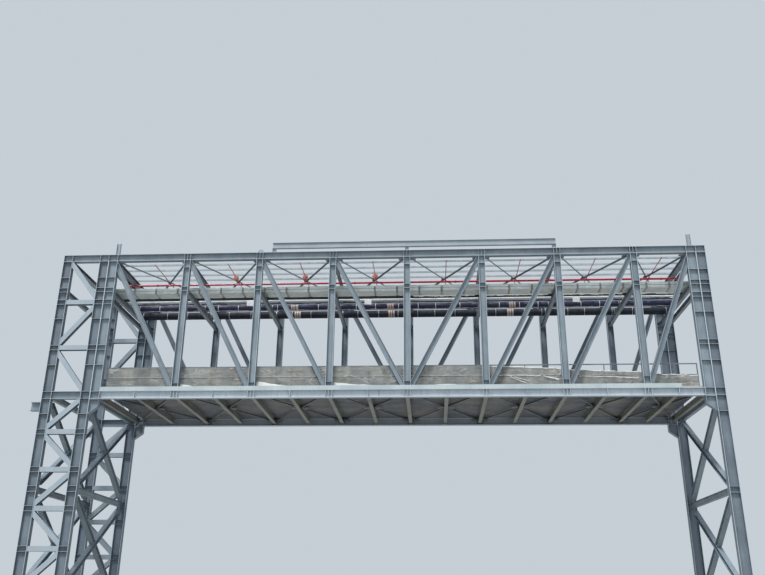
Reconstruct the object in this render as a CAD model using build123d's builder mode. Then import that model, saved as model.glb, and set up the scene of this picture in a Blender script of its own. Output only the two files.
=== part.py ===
from build123d import *
import os

# An elevated steel pipe bridge: two parallel trusses carried high above the ground by a
# braced tower at the left end and a pair of columns at the right end. A ribbed deck with
# guard rails lies on the bottom chords, and pipes run on rack beams under the roof frame.
# X runs along the bridge, -Y is the front, Z = 0 is the ground. Millimetres.

# Layout along the bridge
stub_reach = 520
tower_width = 2050
first_bay = 4150
middle_bay = 4000
middle_bays = 6
last_bay = 3000
base_overhang = 100

# Layout across and up
truss_spacing = 6900
clear_height = 11500
truss_height = 7700
rack_drop = 1550
lower_panel = 1900
lower_struts = 5
frame_panel = 4800
frame_levels = 3

# Rolled sections: depth, flange width, web and flange thickness
chord_depth = 390
chord_web = 10
chord_flange = 16
main_width = 300
column_depth = 500
column_web = 12
column_flange = 20
vertical_depth = 350
vertical_web = 12
vertical_flange = 19
diagonal_depth = 250
diagonal_width = 250
diagonal_web = 9
diagonal_flange = 14
cross_depth = 294
cross_width = 200
cross_web = 8
cross_flange = 12
rack_depth = 250
rack_width = 175
rack_web = 7
rack_flange = 11
roof_depth = 200
roof_width = 150
roof_web = 6
roof_flange = 9
strut_depth = 250
strut_width = 250
strut_web = 9
strut_flange = 14
stub_depth = 440
stub_drop = 400
rail_beam_depth = 330
rail_beam_width = 150
post_depth = 200
end_stub_height = 700
end_stub_shift = 170

# Clearance of pieces that only rest on or hang from a round neighbour, and of the sheeting
seat_gap = 0.3

# Plates and small members
stiffener = 12
stiffener_drop = 950
top_stiffener_drop = 420
foot_stiffener_rise = 180
base_thickness = 40
base_width = 500
bearing_thickness = 30
corbel_root = 760
corbel_tip = 390
corbel_plate = 20
angle_leg = 75
angle_thickness = 8
gusset = 10
gusset_size = 460
corner_gap = 400
middle_gap = 250
kerb_height = 232
kerb_thickness = 8
kerb_gap = 1100

# Deck and guard rails
deck_thickness = 150
decking_thickness = 2
rib_depth = 50
rib_pitch = 300
rib_width = 110
rib_angle = 70
rail_height = 1200
mid_rail_height = 600
rail_tube = 48
rail_inset = 250
rail_end_gap = 100
sheet_thickness = 6
sheet_lift = 20

# Roof purlins
purlin_count = 9
purlin_pitch = 767
purlin_depth = 100
purlin_width = 50
purlin_thickness = 4

# Service runs on the rack beams: each by its gap behind the run before it
duct_gap = 1000
duct_width = 800
duct_height = 350
duct_flange = 25
duct_flange_pitch = 4000
trunking_gap = 50
trunking_width = 280
trunking_height = 100
small_pipe_gap = 125
small_pipe_diameter = 90
white_pipe_gap = 250
white_pipe_diameter = 110
grey_pipe_gap = 370
grey_pipe_diameter = 130
navy_pipe_gap = 795
navy_pipe_diameter = 380
black_pipe_gap = 950
black_pipe_diameter = 440
shoe_height = 80
shoe_width = 60
shoe_length = 200

# Sprinkler pipes under the roof beams
main_diameter = 114
main_set = 3250
main_drop = 140
branch_diameter = 42
branch_drop = 42
branch_reach = 2850
branch_offset = 120
hanger_width = 20

# Beam above the near truss
rail_beam_gap = 250
rail_beam_start = 650

# Places along the bridge, from the free end of the left stub beams
middle_length = middle_bay * middle_bays
overall_length = (
    stub_reach + tower_width + first_bay + middle_length + last_bay
    + 3 * column_depth + base_overhang
)
left_end = -overall_length / 2
outer_x = left_end + stub_reach + column_depth / 2
inner_x = outer_x + tower_width
left_post_x = inner_x + column_depth
vertical_xs = [left_post_x + first_bay + i * middle_bay for i in range(middle_bays + 1)]
right_post_x = vertical_xs[-1] + last_bay
right_x = right_post_x + column_depth
stations = [left_post_x, *vertical_xs, right_post_x]
bays = list(zip(stations, stations[1:]))
bay_centres = [(a + b) / 2 for a, b in bays]
middle_x = vertical_xs[len(vertical_xs) // 2]
portal_xs = [outer_x, inner_x, left_post_x, right_post_x, right_x]
frame_xs = sorted([*portal_xs, *vertical_xs])

# Places across and up
near_y = -truss_spacing / 2
far_y = truss_spacing / 2
inside_half = truss_spacing / 2 - main_width / 2
stub_height = clear_height - stub_drop
bottom_z = clear_height + chord_depth / 2
top_z = bottom_z + truss_height
chord_top = bottom_z + chord_depth / 2
roof_base = top_z - chord_depth / 2
roof_crown = top_z + chord_depth / 2
deck_top = chord_top + deck_thickness
rack_height = roof_base - rack_drop
rack_beam_z = rack_height - rack_depth / 2
cross_beam_z = chord_top - cross_depth / 2
roof_beam_z = roof_base + roof_depth / 2
upper_panel = truss_height / 3
upper_strut_zs = [bottom_z + upper_panel, bottom_z + 2 * upper_panel]
lower_strut_zs = [bottom_z - (i + 1) * lower_panel for i in range(lower_struts)]
frame_beam_zs = [cross_beam_z - i * frame_panel for i in range(frame_levels)]
service_start = left_post_x - column_depth / 2
service_end = right_post_x + column_depth / 2
deck_start = left_post_x + column_depth / 2
deck_end = right_post_x - column_depth / 2
side_ys = (near_y, far_y)

CHORD = (chord_depth, main_width, chord_web, chord_flange)
COLUMN = (column_depth, main_width, column_web, column_flange)
VERTICAL = (vertical_depth, main_width, vertical_web, vertical_flange)
DIAGONAL = (diagonal_depth, diagonal_width, diagonal_web, diagonal_flange)
CROSS_BEAM = (cross_depth, cross_width, cross_web, cross_flange)
RACK_BEAM = (rack_depth, rack_width, rack_web, rack_flange)
ROOF_BEAM = (roof_depth, roof_width, roof_web, roof_flange)
STRUT = (strut_depth, strut_width, strut_web, strut_flange)
STUB = (stub_depth, main_width, chord_web, chord_flange)
RAIL_BEAM = (rail_beam_depth, rail_beam_width, roof_web, roof_flange)
PORTAL_BEAM = (roof_depth, main_width, roof_web, roof_flange)
SHORT_POST = (post_depth, rail_beam_width, roof_web, roof_flange)

ALONG_Y = (0, 1, 0)
ALONG_X = (1, 0, 0)
ALONG_Z = (0, 0, 1)


def rolled(section, starts, run, across):
    """Extrude an I-section along run from each start, its flanges lying along across."""
    depth, width, web, flange = section
    plane = Plane(origin=starts[0], x_dir=across, z_dir=run)
    with BuildSketch(plane) as outlines:
        with Locations(*[plane.to_local_coords(Vector(start)) for start in starts]):
            Rectangle(width, depth)
            with GridLocations(width + web, 0, 2, 1):
                Rectangle(width, depth - 2 * flange, mode=Mode.SUBTRACT)
    extrude(outlines.sketch, amount=Vector(run).length)


def angle_bar(start, end, rise):
    """Extrude an angle from start to end: one leg lies flat, the other rises or falls."""
    run = Vector(end) - Vector(start)
    with BuildSketch(Plane(origin=start, x_dir=run.cross(Vector(ALONG_Z)), z_dir=run)) as outline:
        with Locations((0, -rise * angle_thickness / 2)):
            Rectangle(angle_leg, angle_thickness)
        with Locations(((angle_thickness - angle_leg) / 2, -rise * angle_leg / 2)):
            Rectangle(angle_thickness, angle_leg)
    extrude(outline.sketch, amount=run.length)


def upright_plates(section, xs, z):
    """Weld upright plates on the outer sides of the webs of a level pair of beams."""
    depth, width, web, flange = section
    reach = truss_spacing / 2 + (width + web) / 4
    with Locations(*[(x, y, z) for x in xs for y in (-reach, reach)]):
        Box(stiffener, (width - web) / 2, depth - 2 * flange)


def level_plates(section, xs, zs, side=1):
    """Weld level plates on the outer (1) or inner (-1) sides of the webs of standing members."""
    depth, width, web, flange = section
    reach = truss_spacing / 2 + side * (width + web) / 4
    with Locations(*[(x, y, z) for x in xs for y in (-reach, reach) for z in zs]):
        Box(depth - 2 * flange, (width - web) / 2, stiffener)


def flange_levels(z, section):
    """Give the heights of a level beam's two flanges."""
    depth, flange = section[0], section[3]
    return [z - depth / 2 + flange / 2, z + depth / 2 - flange / 2]


def corner_plates(z, web):
    """Lay level gusset plates into the corners between cross beams and trusses."""
    plate_y = inside_half - gusset_size / 2
    for x in stations:
        for way in (-1, 1):
            if deck_start < x + way * gusset_size < deck_end:
                plate_x = x + way * (web + gusset_size) / 2
                with Locations((plate_x, -plate_y, z), (plate_x, plate_y, z)):
                    Box(gusset_size, gusset_size, gusset)


def shortened(start, end, start_gap, end_gap):
    """Draw both ends of a line in by the given gaps."""
    start, end = Vector(start), Vector(end)
    along = (end - start).normalized()
    return start + along * start_gap, end - along * end_gap


def save(builder, name):
    """Label a finished piece and write its STEP file."""
    builder.part.label = name
    export_step(builder.part, f"parts/{name}.step")


os.makedirs("parts", exist_ok=True)

# Truss chords: the top ones run on over the right columns
vertical_flanges = flange_levels(0, VERTICAL)
foot_plate_xs = [x + dx for x in vertical_xs for dx in (*vertical_flanges, 0)]
flange_reach = (column_depth - column_flange) / 2
flange_plate_xs = [
    left_post_x + flange_reach,
    right_post_x - flange_reach,
    right_x - flange_reach,
    right_x + flange_reach,
]
with BuildPart() as top_chords:
    start_x = left_post_x - column_depth / 2
    length = right_x + column_depth / 2 - start_x
    rolled(CHORD, [(start_x, y, top_z) for y in side_ys], (length, 0, 0), ALONG_Y)
    upright_plates(CHORD, [*foot_plate_xs, *flange_plate_xs], top_z)
save(top_chords, "top_chords")

with BuildPart() as bottom_chords:
    starts = [(deck_start, y, bottom_z) for y in side_ys]
    rolled(CHORD, starts, (deck_end - deck_start, 0, 0), ALONG_Y)
    upright_plates(CHORD, [*foot_plate_xs, *bay_centres], bottom_z)
save(bottom_chords, "bottom_chords")

# Truss verticals, with plates on both sides of the web where rack beams meet them
rack_plates = flange_levels(rack_beam_z, RACK_BEAM)
foot_plate_z = chord_top + foot_stiffener_rise
vertical_plates = [roof_base - top_stiffener_drop, *rack_plates, foot_plate_z]
with BuildPart() as verticals:
    starts = [(x, y, chord_top) for x in vertical_xs for y in side_ys]
    rolled(VERTICAL, starts, (0, 0, roof_base - chord_top), ALONG_Y)
    level_plates(VERTICAL, vertical_xs, vertical_plates)
    level_plates(VERTICAL, vertical_xs, rack_plates, side=-1)
save(verticals, "truss_verticals")

# Truss diagonals fall towards the middle and are cut to the clear panel between members
with BuildPart() as diagonals:
    for left, right in bays:
        high, low = (left, right) if right <= middle_x else (right, left)
        starts = [(high, y, top_z) for y in side_ys]
        rolled(DIAGONAL, starts, (low - high, 0, bottom_z - top_z), ALONG_Y)
    with BuildSketch(Plane.XZ) as clear_panels:
        for left, right in bays:
            left_half = column_depth / 2 if left == left_post_x else vertical_depth / 2
            right_half = column_depth / 2 if right == right_post_x else vertical_depth / 2
            with Locations(((left + left_half + right - right_half) / 2, (chord_top + roof_base) / 2)):
                Rectangle(right - right_half - left - left_half, roof_base - chord_top)
    extrude(clear_panels.sketch, amount=truss_spacing, both=True, mode=Mode.INTERSECT)
save(diagonals, "truss_diagonals")

# End posts of the trusses stand on bearing plates over the corbels
post_plates = [
    *flange_levels(bottom_z, CHORD),
    *rack_plates,
    *[z + dz for z in upper_strut_zs for dz in (-strut_width / 2, strut_width / 2)],
    *[z - stiffener_drop for z in [*upper_strut_zs, roof_base]],
]
with BuildPart() as end_posts:
    starts = [(x, y, clear_height) for x in (left_post_x, right_post_x) for y in side_ys]
    rolled(COLUMN, starts, (0, 0, roof_base - clear_height), ALONG_Y)
    level_plates(COLUMN, (left_post_x, right_post_x), post_plates)
    level_plates(COLUMN, (left_post_x, right_post_x), rack_plates, side=-1)
save(end_posts, "end_posts")

with BuildPart() as bearing_plates:
    bearing_z = clear_height - bearing_thickness / 2
    with Locations(*[(x, y, bearing_z) for x in (left_post_x, right_post_x) for y in side_ys]):
        Box(column_depth, main_width, bearing_thickness)
save(bearing_plates, "bearing_plates")

# Columns from the base plates to the roof frame
column_lines = (outer_x, inner_x, right_x)
frame_plates = [level for z in frame_beam_zs for level in flange_levels(z, CROSS_BEAM)]
corbel_foot_z = clear_height - bearing_thickness - corbel_root + stiffener / 2
column_plates = [*post_plates, corbel_foot_z, *frame_plates[2:]]
tower_plates = [z + dz for z in lower_strut_zs for dz in (-strut_width / 2, strut_width / 2)]
for name, xs, plates in (
    ("tower_columns", (outer_x, inner_x), [*column_plates, *tower_plates]),
    ("right_columns", (right_x,), column_plates),
):
    with BuildPart() as columns:
        starts = [(x, y, base_thickness) for x in xs for y in side_ys]
        rolled(COLUMN, starts, (0, 0, roof_base - base_thickness), ALONG_Y)
        level_plates(COLUMN, xs, plates)
        level_plates(COLUMN, xs, [*rack_plates, *frame_plates], side=-1)
    save(columns, name)

with BuildPart() as base_plates:
    base_length = column_depth + 2 * base_overhang
    with Locations(*[(x, y, base_thickness / 2) for x in column_lines for y in side_ys]):
        Box(base_length, base_width, base_thickness)
save(base_plates, "base_plates")

# Corbels: tapered welded brackets on the faces of the inner and right columns
with BuildPart() as corbels:
    corbel_top = clear_height - bearing_thickness
    with BuildSketch(Plane.XZ) as webs:
        for root_x, reach in (
            (inner_x + column_depth / 2, column_depth),
            (right_x - column_depth / 2, -column_depth),
        ):
            with BuildLine():
                Polyline(
                    (root_x, corbel_top),
                    (root_x + reach, corbel_top),
                    (root_x + reach, corbel_top - corbel_tip),
                    (root_x, corbel_top - corbel_root),
                    close=True,
                )
            make_face()
    with BuildSketch(Plane.XZ) as rims:
        add(webs.sketch)
        offset(amount=-corbel_plate, mode=Mode.SUBTRACT)
    for y in side_ys:
        extrude(webs.sketch.translate((0, y, 0)), amount=corbel_plate / 2, both=True)
        extrude(rims.sketch.translate((0, y, 0)), amount=main_width / 2, both=True)
save(corbels, "corbels")

# Tower sides: beams over and between the columns, struts, and a zigzag of braces
tower_left = outer_x + column_depth / 2
tower_right = inner_x - column_depth / 2
tower_clear = tower_right - tower_left
with BuildPart() as tower_beams:
    starts = [(outer_x - column_depth / 2, y, top_z) for y in side_ys]
    rolled(CHORD, starts, (tower_width + column_depth, 0, 0), ALONG_Y)
    tower_plate_xs = [x + dx for x in (outer_x, inner_x) for dx in (-flange_reach, flange_reach)]
    upright_plates(CHORD, tower_plate_xs, top_z)
    rolled(CHORD, [(tower_left, y, bottom_z) for y in side_ys], (tower_clear, 0, 0), ALONG_Y)
save(tower_beams, "tower_beams")

with BuildPart() as tower_struts:
    starts = [(tower_left, y, z) for y in side_ys for z in [*upper_strut_zs, *lower_strut_zs]]
    rolled(STRUT, starts, (tower_clear, 0, 0), ALONG_Z)
save(tower_struts, "tower_struts")

levels = [
    (top_z, chord_depth / 2),
    *[(z, strut_width / 2) for z in reversed(upper_strut_zs)],
    (bottom_z, chord_depth / 2),
    *[(z, strut_width / 2) for z in lower_strut_zs],
    (base_thickness + strut_width / 2, 0),
]
with BuildPart() as tower_braces:
    for i, ((high_z, _), (low_z, _)) in enumerate(zip(levels, levels[1:])):
        start_x, end_x = (outer_x, inner_x) if i % 2 == 0 else (inner_x, outer_x)
        run = Vector(end_x - start_x, 0, low_z - high_z)
        rolled(STRUT, [(start_x, y, high_z) for y in side_ys], run, run.cross(Vector(ALONG_Y)))
    with BuildSketch(Plane.XZ) as clear_panels:
        for (high_z, high_half), (low_z, low_half) in zip(levels, levels[1:]):
            low_edge, high_edge = low_z + low_half, high_z - high_half
            with Locations(((tower_left + tower_right) / 2, (low_edge + high_edge) / 2)):
                Rectangle(tower_clear, high_edge - low_edge)
    extrude(clear_panels.sketch, amount=truss_spacing, both=True, mode=Mode.INTERSECT)
save(tower_braces, "tower_braces")

# Short cantilever beams on the outer face of the tower
with BuildPart() as outer_stubs:
    starts = [(left_end, y, stub_height) for y in side_ys]
    rolled(STUB, starts, (stub_reach, 0, 0), ALONG_Y)
save(outer_stubs, "outer_stub_beams")

# Cross frames between the columns of each line: beams, and crossed braces between them
with BuildPart() as frame_beams:
    starts = [(x, -inside_half, z) for x in column_lines for z in frame_beam_zs]
    rolled(CROSS_BEAM, starts, (0, 2 * inside_half, 0), ALONG_X)
save(frame_beams, "cross_frame_beams")

frame_panels = list(zip(frame_beam_zs, frame_beam_zs[1:]))
brace_half = inside_half - gusset_size
for name, rise in (("rising", 1), ("falling", -1)):
    with BuildPart() as frame_braces:
        run = Vector(0, -rise * truss_spacing, -frame_panel)
        for high_z, low_z in frame_panels:
            rolled(DIAGONAL, [(x, rise * far_y, high_z) for x in column_lines], run, ALONG_X)
        with BuildSketch(Plane.YZ) as clear_panels:
            for high_z, low_z in frame_panels:
                with Locations((0, (high_z + low_z) / 2)):
                    Rectangle(2 * brace_half, frame_panel - cross_depth)
        extrude(clear_panels.sketch, amount=overall_length, both=True, mode=Mode.INTERSECT)
        if name == "falling":
            run = Vector(0, -truss_spacing, -frame_panel)
            for high_z, low_z in frame_panels:
                plane = Plane(origin=(0, far_y, high_z), x_dir=ALONG_X, z_dir=run)
                with BuildSketch(plane) as crossing:
                    with Locations(*[(x, 0) for x in column_lines]):
                        Rectangle(diagonal_width, diagonal_depth)
                extrude(crossing.sketch, amount=run.length, mode=Mode.SUBTRACT)
    save(frame_braces, f"cross_frame_braces_{name}")

with BuildPart() as frame_gussets:
    plate_y = inside_half - gusset_size / 2
    plate_reach = (cross_depth + gusset_size) / 2
    plate_zs = [z for high_z, low_z in frame_panels for z in (high_z - plate_reach, low_z + plate_reach)]
    with Locations(*[(x, y, z) for x in column_lines for y in (-plate_y, plate_y) for z in plate_zs]):
        Box(gusset, gusset_size, gusset_size)
save(frame_gussets, "cross_frame_gussets")

# Deck cross beams at the panel points and half way between them
cross_beam_xs = sorted([*stations, *bay_centres])
with BuildPart() as cross_beams:
    starts = [(x, -inside_half, cross_beam_z) for x in cross_beam_xs]
    rolled(CROSS_BEAM, starts, (0, 2 * inside_half, 0), ALONG_X)
save(cross_beams, "deck_cross_beams")

# Deck bracing: angles from each corner of a bay to the middle of the bay's middle beam
with BuildPart() as deck_gussets:
    corner_plates(cross_beam_z, cross_web)
    shift = (cross_web + gusset_size) / 2
    with Locations(*[(x + dx, 0, cross_beam_z) for x in bay_centres for dx in (-shift, shift)]):
        Box(gusset_size, gusset_size, gusset)
save(deck_gussets, "deck_gussets")

with BuildPart() as deck_bracing:
    bar_z = cross_beam_z + gusset / 2
    for (left, right), middle in zip(bays, bay_centres):
        for x in (left, right):
            for y in side_ys:
                ends = shortened((x, y, bar_z), (middle, 0, bar_z), corner_gap, middle_gap)
                angle_bar(*ends, 1)
save(deck_bracing, "deck_bracing")

# Rack beams that carry the pipes, and roof beams, across every frame
with BuildPart() as rack_beams:
    starts = [(x, -inside_half, rack_beam_z) for x in frame_xs]
    rolled(RACK_BEAM, starts, (0, 2 * inside_half, 0), ALONG_X)
save(rack_beams, "rack_beams")

# Wider roof beams stand over the tower and the right end as portal beams
with BuildPart() as roof_beams:
    for section, xs in ((ROOF_BEAM, vertical_xs), (PORTAL_BEAM, portal_xs)):
        starts = [(x, -inside_half, roof_beam_z) for x in xs]
        rolled(section, starts, (0, 2 * inside_half, 0), ALONG_X)
save(roof_beams, "roof_beams")

# Roof bracing: two layers of crossed angles with plates between them
roof_plane_z = roof_beam_z
for name, rise in (("lower", -1), ("upper", 1)):
    with BuildPart() as roof_braces:
        bar_z = roof_plane_z + rise * gusset / 2
        for left, right in bays:
            start, end = (left, rise * near_y, bar_z), (right, rise * far_y, bar_z)
            angle_bar(*shortened(start, end, corner_gap, corner_gap), rise)
    save(roof_braces, f"roof_braces_{name}")

with BuildPart() as roof_gussets:
    corner_plates(roof_plane_z, roof_web)
    with Locations(*[(x, 0, roof_plane_z) for x in bay_centres]):
        Box(gusset_size / 2, gusset_size / 2, gusset)
save(roof_gussets, "roof_gussets")

# Purlins: channels laid along the bridge on the roof beams
with BuildPart() as purlins:
    purlin_z = roof_base + roof_depth + purlin_depth / 2
    with BuildSketch(Plane.YZ.offset(service_start)) as channels:
        with Locations((0, purlin_z)):
            with GridLocations(purlin_pitch, 0, purlin_count, 1):
                Rectangle(purlin_width, purlin_depth)
                with Locations((purlin_thickness, 0)):
                    inner_height = purlin_depth - 2 * purlin_thickness
                    Rectangle(purlin_width, inner_height, mode=Mode.SUBTRACT)
    extrude(channels.sketch, amount=service_end - service_start)
save(purlins, "roof_purlins")

# Deck: ribbed steel decking with a slab cast on it, the ribs running along the bridge
def deck_outline(base):
    """Draw the deck's cross-section up from a ribbed underside at the given height."""
    with Locations((0, base)):
        Rectangle(2 * inside_half, deck_top - base, align=(Align.CENTER, Align.MIN))
        with GridLocations(rib_pitch, 0, int(2 * inside_half // rib_pitch), 1):
            Trapezoid(
                rib_pitch - rib_width,
                rib_depth,
                rib_angle,
                align=(Align.CENTER, Align.MIN),
                mode=Mode.SUBTRACT,
            )


with BuildPart() as slab:
    with BuildSketch(Plane.YZ.offset(deck_start)) as slab_profile:
        deck_outline(chord_top + decking_thickness)
    extrude(slab_profile.sketch, amount=deck_end - deck_start)
save(slab, "deck_slab")

with BuildPart() as decking:
    with BuildSketch(Plane.YZ.offset(deck_start)) as decking_profile:
        deck_outline(chord_top)
        add(slab_profile.sketch_local, mode=Mode.SUBTRACT)
    extrude(decking_profile.sketch, amount=deck_end - deck_start)
save(decking, "deck_sheet")

# Kerb plates along the outer edges of the bottom chords
with BuildPart() as kerbs:
    kerb_y = truss_spacing / 2 + (main_width + kerb_thickness) / 2
    kerb_base = chord_top - chord_flange
    with Locations((deck_start, -kerb_y, kerb_base), (deck_start, kerb_y, kerb_base)):
        Box(
            deck_end - kerb_gap - deck_start,
            kerb_thickness,
            kerb_height,
            align=(Align.MIN, Align.CENTER, Align.MIN),
        )
save(kerbs, "kerbs")

# Guard rails: two square tubes on posts of the same tube along each side of the deck
rail_y = truss_spacing / 2 - rail_inset
rail_start, rail_end = deck_start + rail_end_gap, deck_end - rail_end_gap
with BuildPart() as guard_rails:
    rail_zs = (deck_top + rail_height - rail_tube / 2, deck_top + mid_rail_height)
    with BuildSketch(Plane.YZ.offset(rail_start)) as rail_ends:
        with Locations(*[(y, z) for y in (-rail_y, rail_y) for z in rail_zs]):
            Rectangle(rail_tube, rail_tube)
    extrude(rail_ends.sketch, amount=rail_end - rail_start)
    post_xs = [rail_start + rail_tube / 2, *cross_beam_xs[1:-1], rail_end - rail_tube / 2]
    with BuildSketch(Plane.XY.offset(deck_top)) as post_feet:
        with Locations(*[(x, y) for x in post_xs for y in (-rail_y, rail_y)]):
            Rectangle(rail_tube, rail_tube)
    extrude(post_feet.sketch, amount=rail_height)
save(guard_rails, "guard_rails")

# Sheeting hung on the outer face of each guard rail
for side, outward in (("near", -1), ("far", 1)):
    with BuildPart() as sheeting:
        sheet_y = outward * (rail_y + rail_tube / 2 + seat_gap + sheet_thickness / 2)
        with Locations((rail_start, sheet_y, deck_top + sheet_lift)):
            Box(
                rail_end - rail_start,
                sheet_thickness,
                rail_height - sheet_lift,
                align=(Align.MIN, Align.CENTER, Align.MIN),
            )
    save(sheeting, f"{side}_sheeting")


# Duct of flanged lengths, and cable trunking beside it
duct_y = near_y + duct_gap + duct_width / 2
service_length = service_end - service_start
with BuildPart() as duct:
    with Locations((service_start, duct_y, rack_height)):
        Box(service_length, duct_width, duct_height, align=(Align.MIN, Align.CENTER, Align.MIN))
    flange_count = int(service_length // duct_flange_pitch)
    flange_xs = [service_start + (i + 0.5) * duct_flange_pitch for i in range(flange_count)]
    with Locations(*[(x, duct_y, rack_height) for x in flange_xs]):
        Box(
            duct_flange,
            duct_width + 2 * duct_flange,
            duct_height + duct_flange,
            align=(Align.CENTER, Align.CENTER, Align.MIN),
        )
save(duct, "duct")

trunking_y = duct_y + (duct_width + trunking_width) / 2 + trunking_gap
with BuildPart() as trunking:
    with Locations((service_start, trunking_y, rack_height)):
        Box(
            service_length,
            trunking_width,
            trunking_height,
            align=(Align.MIN, Align.CENTER, Align.MIN),
        )
save(trunking, "cable_trunking")

# Pipes side by side behind the trunking, each resting on a shoe at every rack beam
pipe_base = rack_height + shoe_height
pipe_centres = {"dark_pipes": [], "light_pipes": []}
edge = trunking_y + trunking_width / 2
for node, gap, diameter in (
    ("dark_pipes", small_pipe_gap, small_pipe_diameter),
    ("light_pipes", white_pipe_gap, white_pipe_diameter),
    ("light_pipes", grey_pipe_gap, grey_pipe_diameter),
    ("dark_pipes", navy_pipe_gap, navy_pipe_diameter),
    ("dark_pipes", black_pipe_gap, black_pipe_diameter),
):
    pipe_centres[node].append((edge + gap + diameter / 2, diameter))
    edge += gap + diameter

for node, centres in pipe_centres.items():
    with BuildPart() as pipes:
        with BuildSketch(Plane.YZ.offset(service_start)) as pipe_ends:
            for y, diameter in centres:
                with Locations((y, pipe_base + diameter / 2)):
                    Circle(diameter / 2)
        extrude(pipe_ends.sketch, amount=service_length)
    save(pipes, node)

with BuildPart() as shoes:
    pipe_ys = [y for centres in pipe_centres.values() for y, _ in centres]
    with Locations(*[(x, y, rack_height) for x in stations for y in pipe_ys]):
        Box(
            shoe_length,
            shoe_width,
            shoe_height - seat_gap,
            align=(Align.CENTER, Align.CENTER, Align.MIN),
        )
save(shoes, "pipe_shoes")

# Sprinkler main hung from the roof beams
main_y, main_z = near_y + main_set, roof_base - main_drop
main_crest = main_z + main_diameter / 2 + seat_gap
with BuildPart() as sprinkler_main:
    with BuildSketch(Plane.YZ.offset(service_start)) as main_ring:
        with Locations((main_y, main_z)):
            Circle(main_diameter / 2)
    extrude(main_ring.sketch, amount=service_length)
save(sprinkler_main, "sprinkler_main")

with BuildPart() as hangers:
    with BuildSketch(Plane.XY.offset(main_crest)) as rods:
        with Locations(*[(x, main_y) for x in stations]):
            Rectangle(hanger_width, hanger_width)
    extrude(rods.sketch, amount=roof_base - main_crest)
save(hangers, "sprinkler_hangers")

# Sprinkler branches: one across each bay, on a riser from the main
branch_z = roof_base - branch_drop
branch_xs = [middle + branch_offset for middle in bay_centres]
with BuildPart() as sprinkler_branches:
    with BuildSketch(Plane.XZ.offset(branch_reach - main_y)) as branch_ends:
        with Locations(*[(x, branch_z) for x in branch_xs]):
            Circle(branch_diameter / 2)
    extrude(branch_ends.sketch, amount=-2 * branch_reach)
    with BuildSketch(Plane.XY.offset(main_crest)) as risers:
        with Locations(*[(x, main_y) for x in branch_xs]):
            Rectangle(hanger_width, hanger_width)
    riser_height = branch_z - branch_diameter / 2 - seat_gap - main_crest
    extrude(risers.sketch, amount=riser_height)
save(sprinkler_branches, "sprinkler_branches")

# Beam on short posts above the near truss, and stub posts over the four end posts
rail_beam_left = vertical_xs[1] + rail_beam_start
rail_beam_right = vertical_xs[-2]
rail_beam_base = roof_crown + rail_beam_gap
with BuildPart() as top_beam:
    start = (rail_beam_left, near_y, rail_beam_base + rail_beam_depth / 2)
    rolled(RAIL_BEAM, [start], (rail_beam_right - rail_beam_left, 0, 0), ALONG_Y)
save(top_beam, "top_beam")

with BuildPart() as top_beam_posts:
    post_xs = (rail_beam_left + post_depth / 2, middle_x, rail_beam_right - post_depth / 2)
    rolled(SHORT_POST, [(x, near_y, roof_crown) for x in post_xs], (0, 0, rail_beam_gap), ALONG_Y)
save(top_beam_posts, "top_beam_posts")

with BuildPart() as stub_posts:
    post_xs = (left_post_x + end_stub_shift, right_post_x)
    starts = [(x, y, roof_crown) for x in post_xs for y in side_ys]
    rolled(SHORT_POST, starts, (0, 0, end_stub_height), ALONG_Y)
save(stub_posts, "stub_posts")
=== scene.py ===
import logging
import math
import random
from collections.abc import Iterator
from contextlib import contextmanager
from dataclasses import dataclass
from enum import Enum

import bmesh
import bpy
from mathutils import Euler, Matrix, Vector


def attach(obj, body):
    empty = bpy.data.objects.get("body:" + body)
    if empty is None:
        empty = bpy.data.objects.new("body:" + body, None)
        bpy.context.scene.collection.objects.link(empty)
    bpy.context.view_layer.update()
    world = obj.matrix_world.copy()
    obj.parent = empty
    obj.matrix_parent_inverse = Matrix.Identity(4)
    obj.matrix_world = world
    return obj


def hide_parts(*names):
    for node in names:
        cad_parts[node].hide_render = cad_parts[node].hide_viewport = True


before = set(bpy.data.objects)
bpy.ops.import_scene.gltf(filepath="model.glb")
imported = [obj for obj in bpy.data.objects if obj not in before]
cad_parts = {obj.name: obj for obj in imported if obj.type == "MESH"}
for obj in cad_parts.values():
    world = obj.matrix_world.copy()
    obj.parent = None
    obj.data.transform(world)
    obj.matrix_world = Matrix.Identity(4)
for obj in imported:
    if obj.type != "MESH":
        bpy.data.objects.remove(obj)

LOG = logging.getLogger("pipe_bridge")
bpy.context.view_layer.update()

Piece = bpy.types.Object
Socket = bpy.types.NodeSocket
Tree = bpy.types.NodeTree
Triple = tuple[float, float, float]
Pair = tuple[float, float]

SIDES = (-1, 1)
UP = Vector((0, 0, 1))
UPSIDE_DOWN = Euler((math.pi, 0, 0))
# Bevel on the edges of small cut and forged parts, in metres
FINE_EDGE = 0.0015
# Angles in degrees under which neighbouring faces are shaded as one surface
ROUND_ANGLE = 35.0
SHEET_ANGLE = 60.0


# Places and sizes


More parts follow.
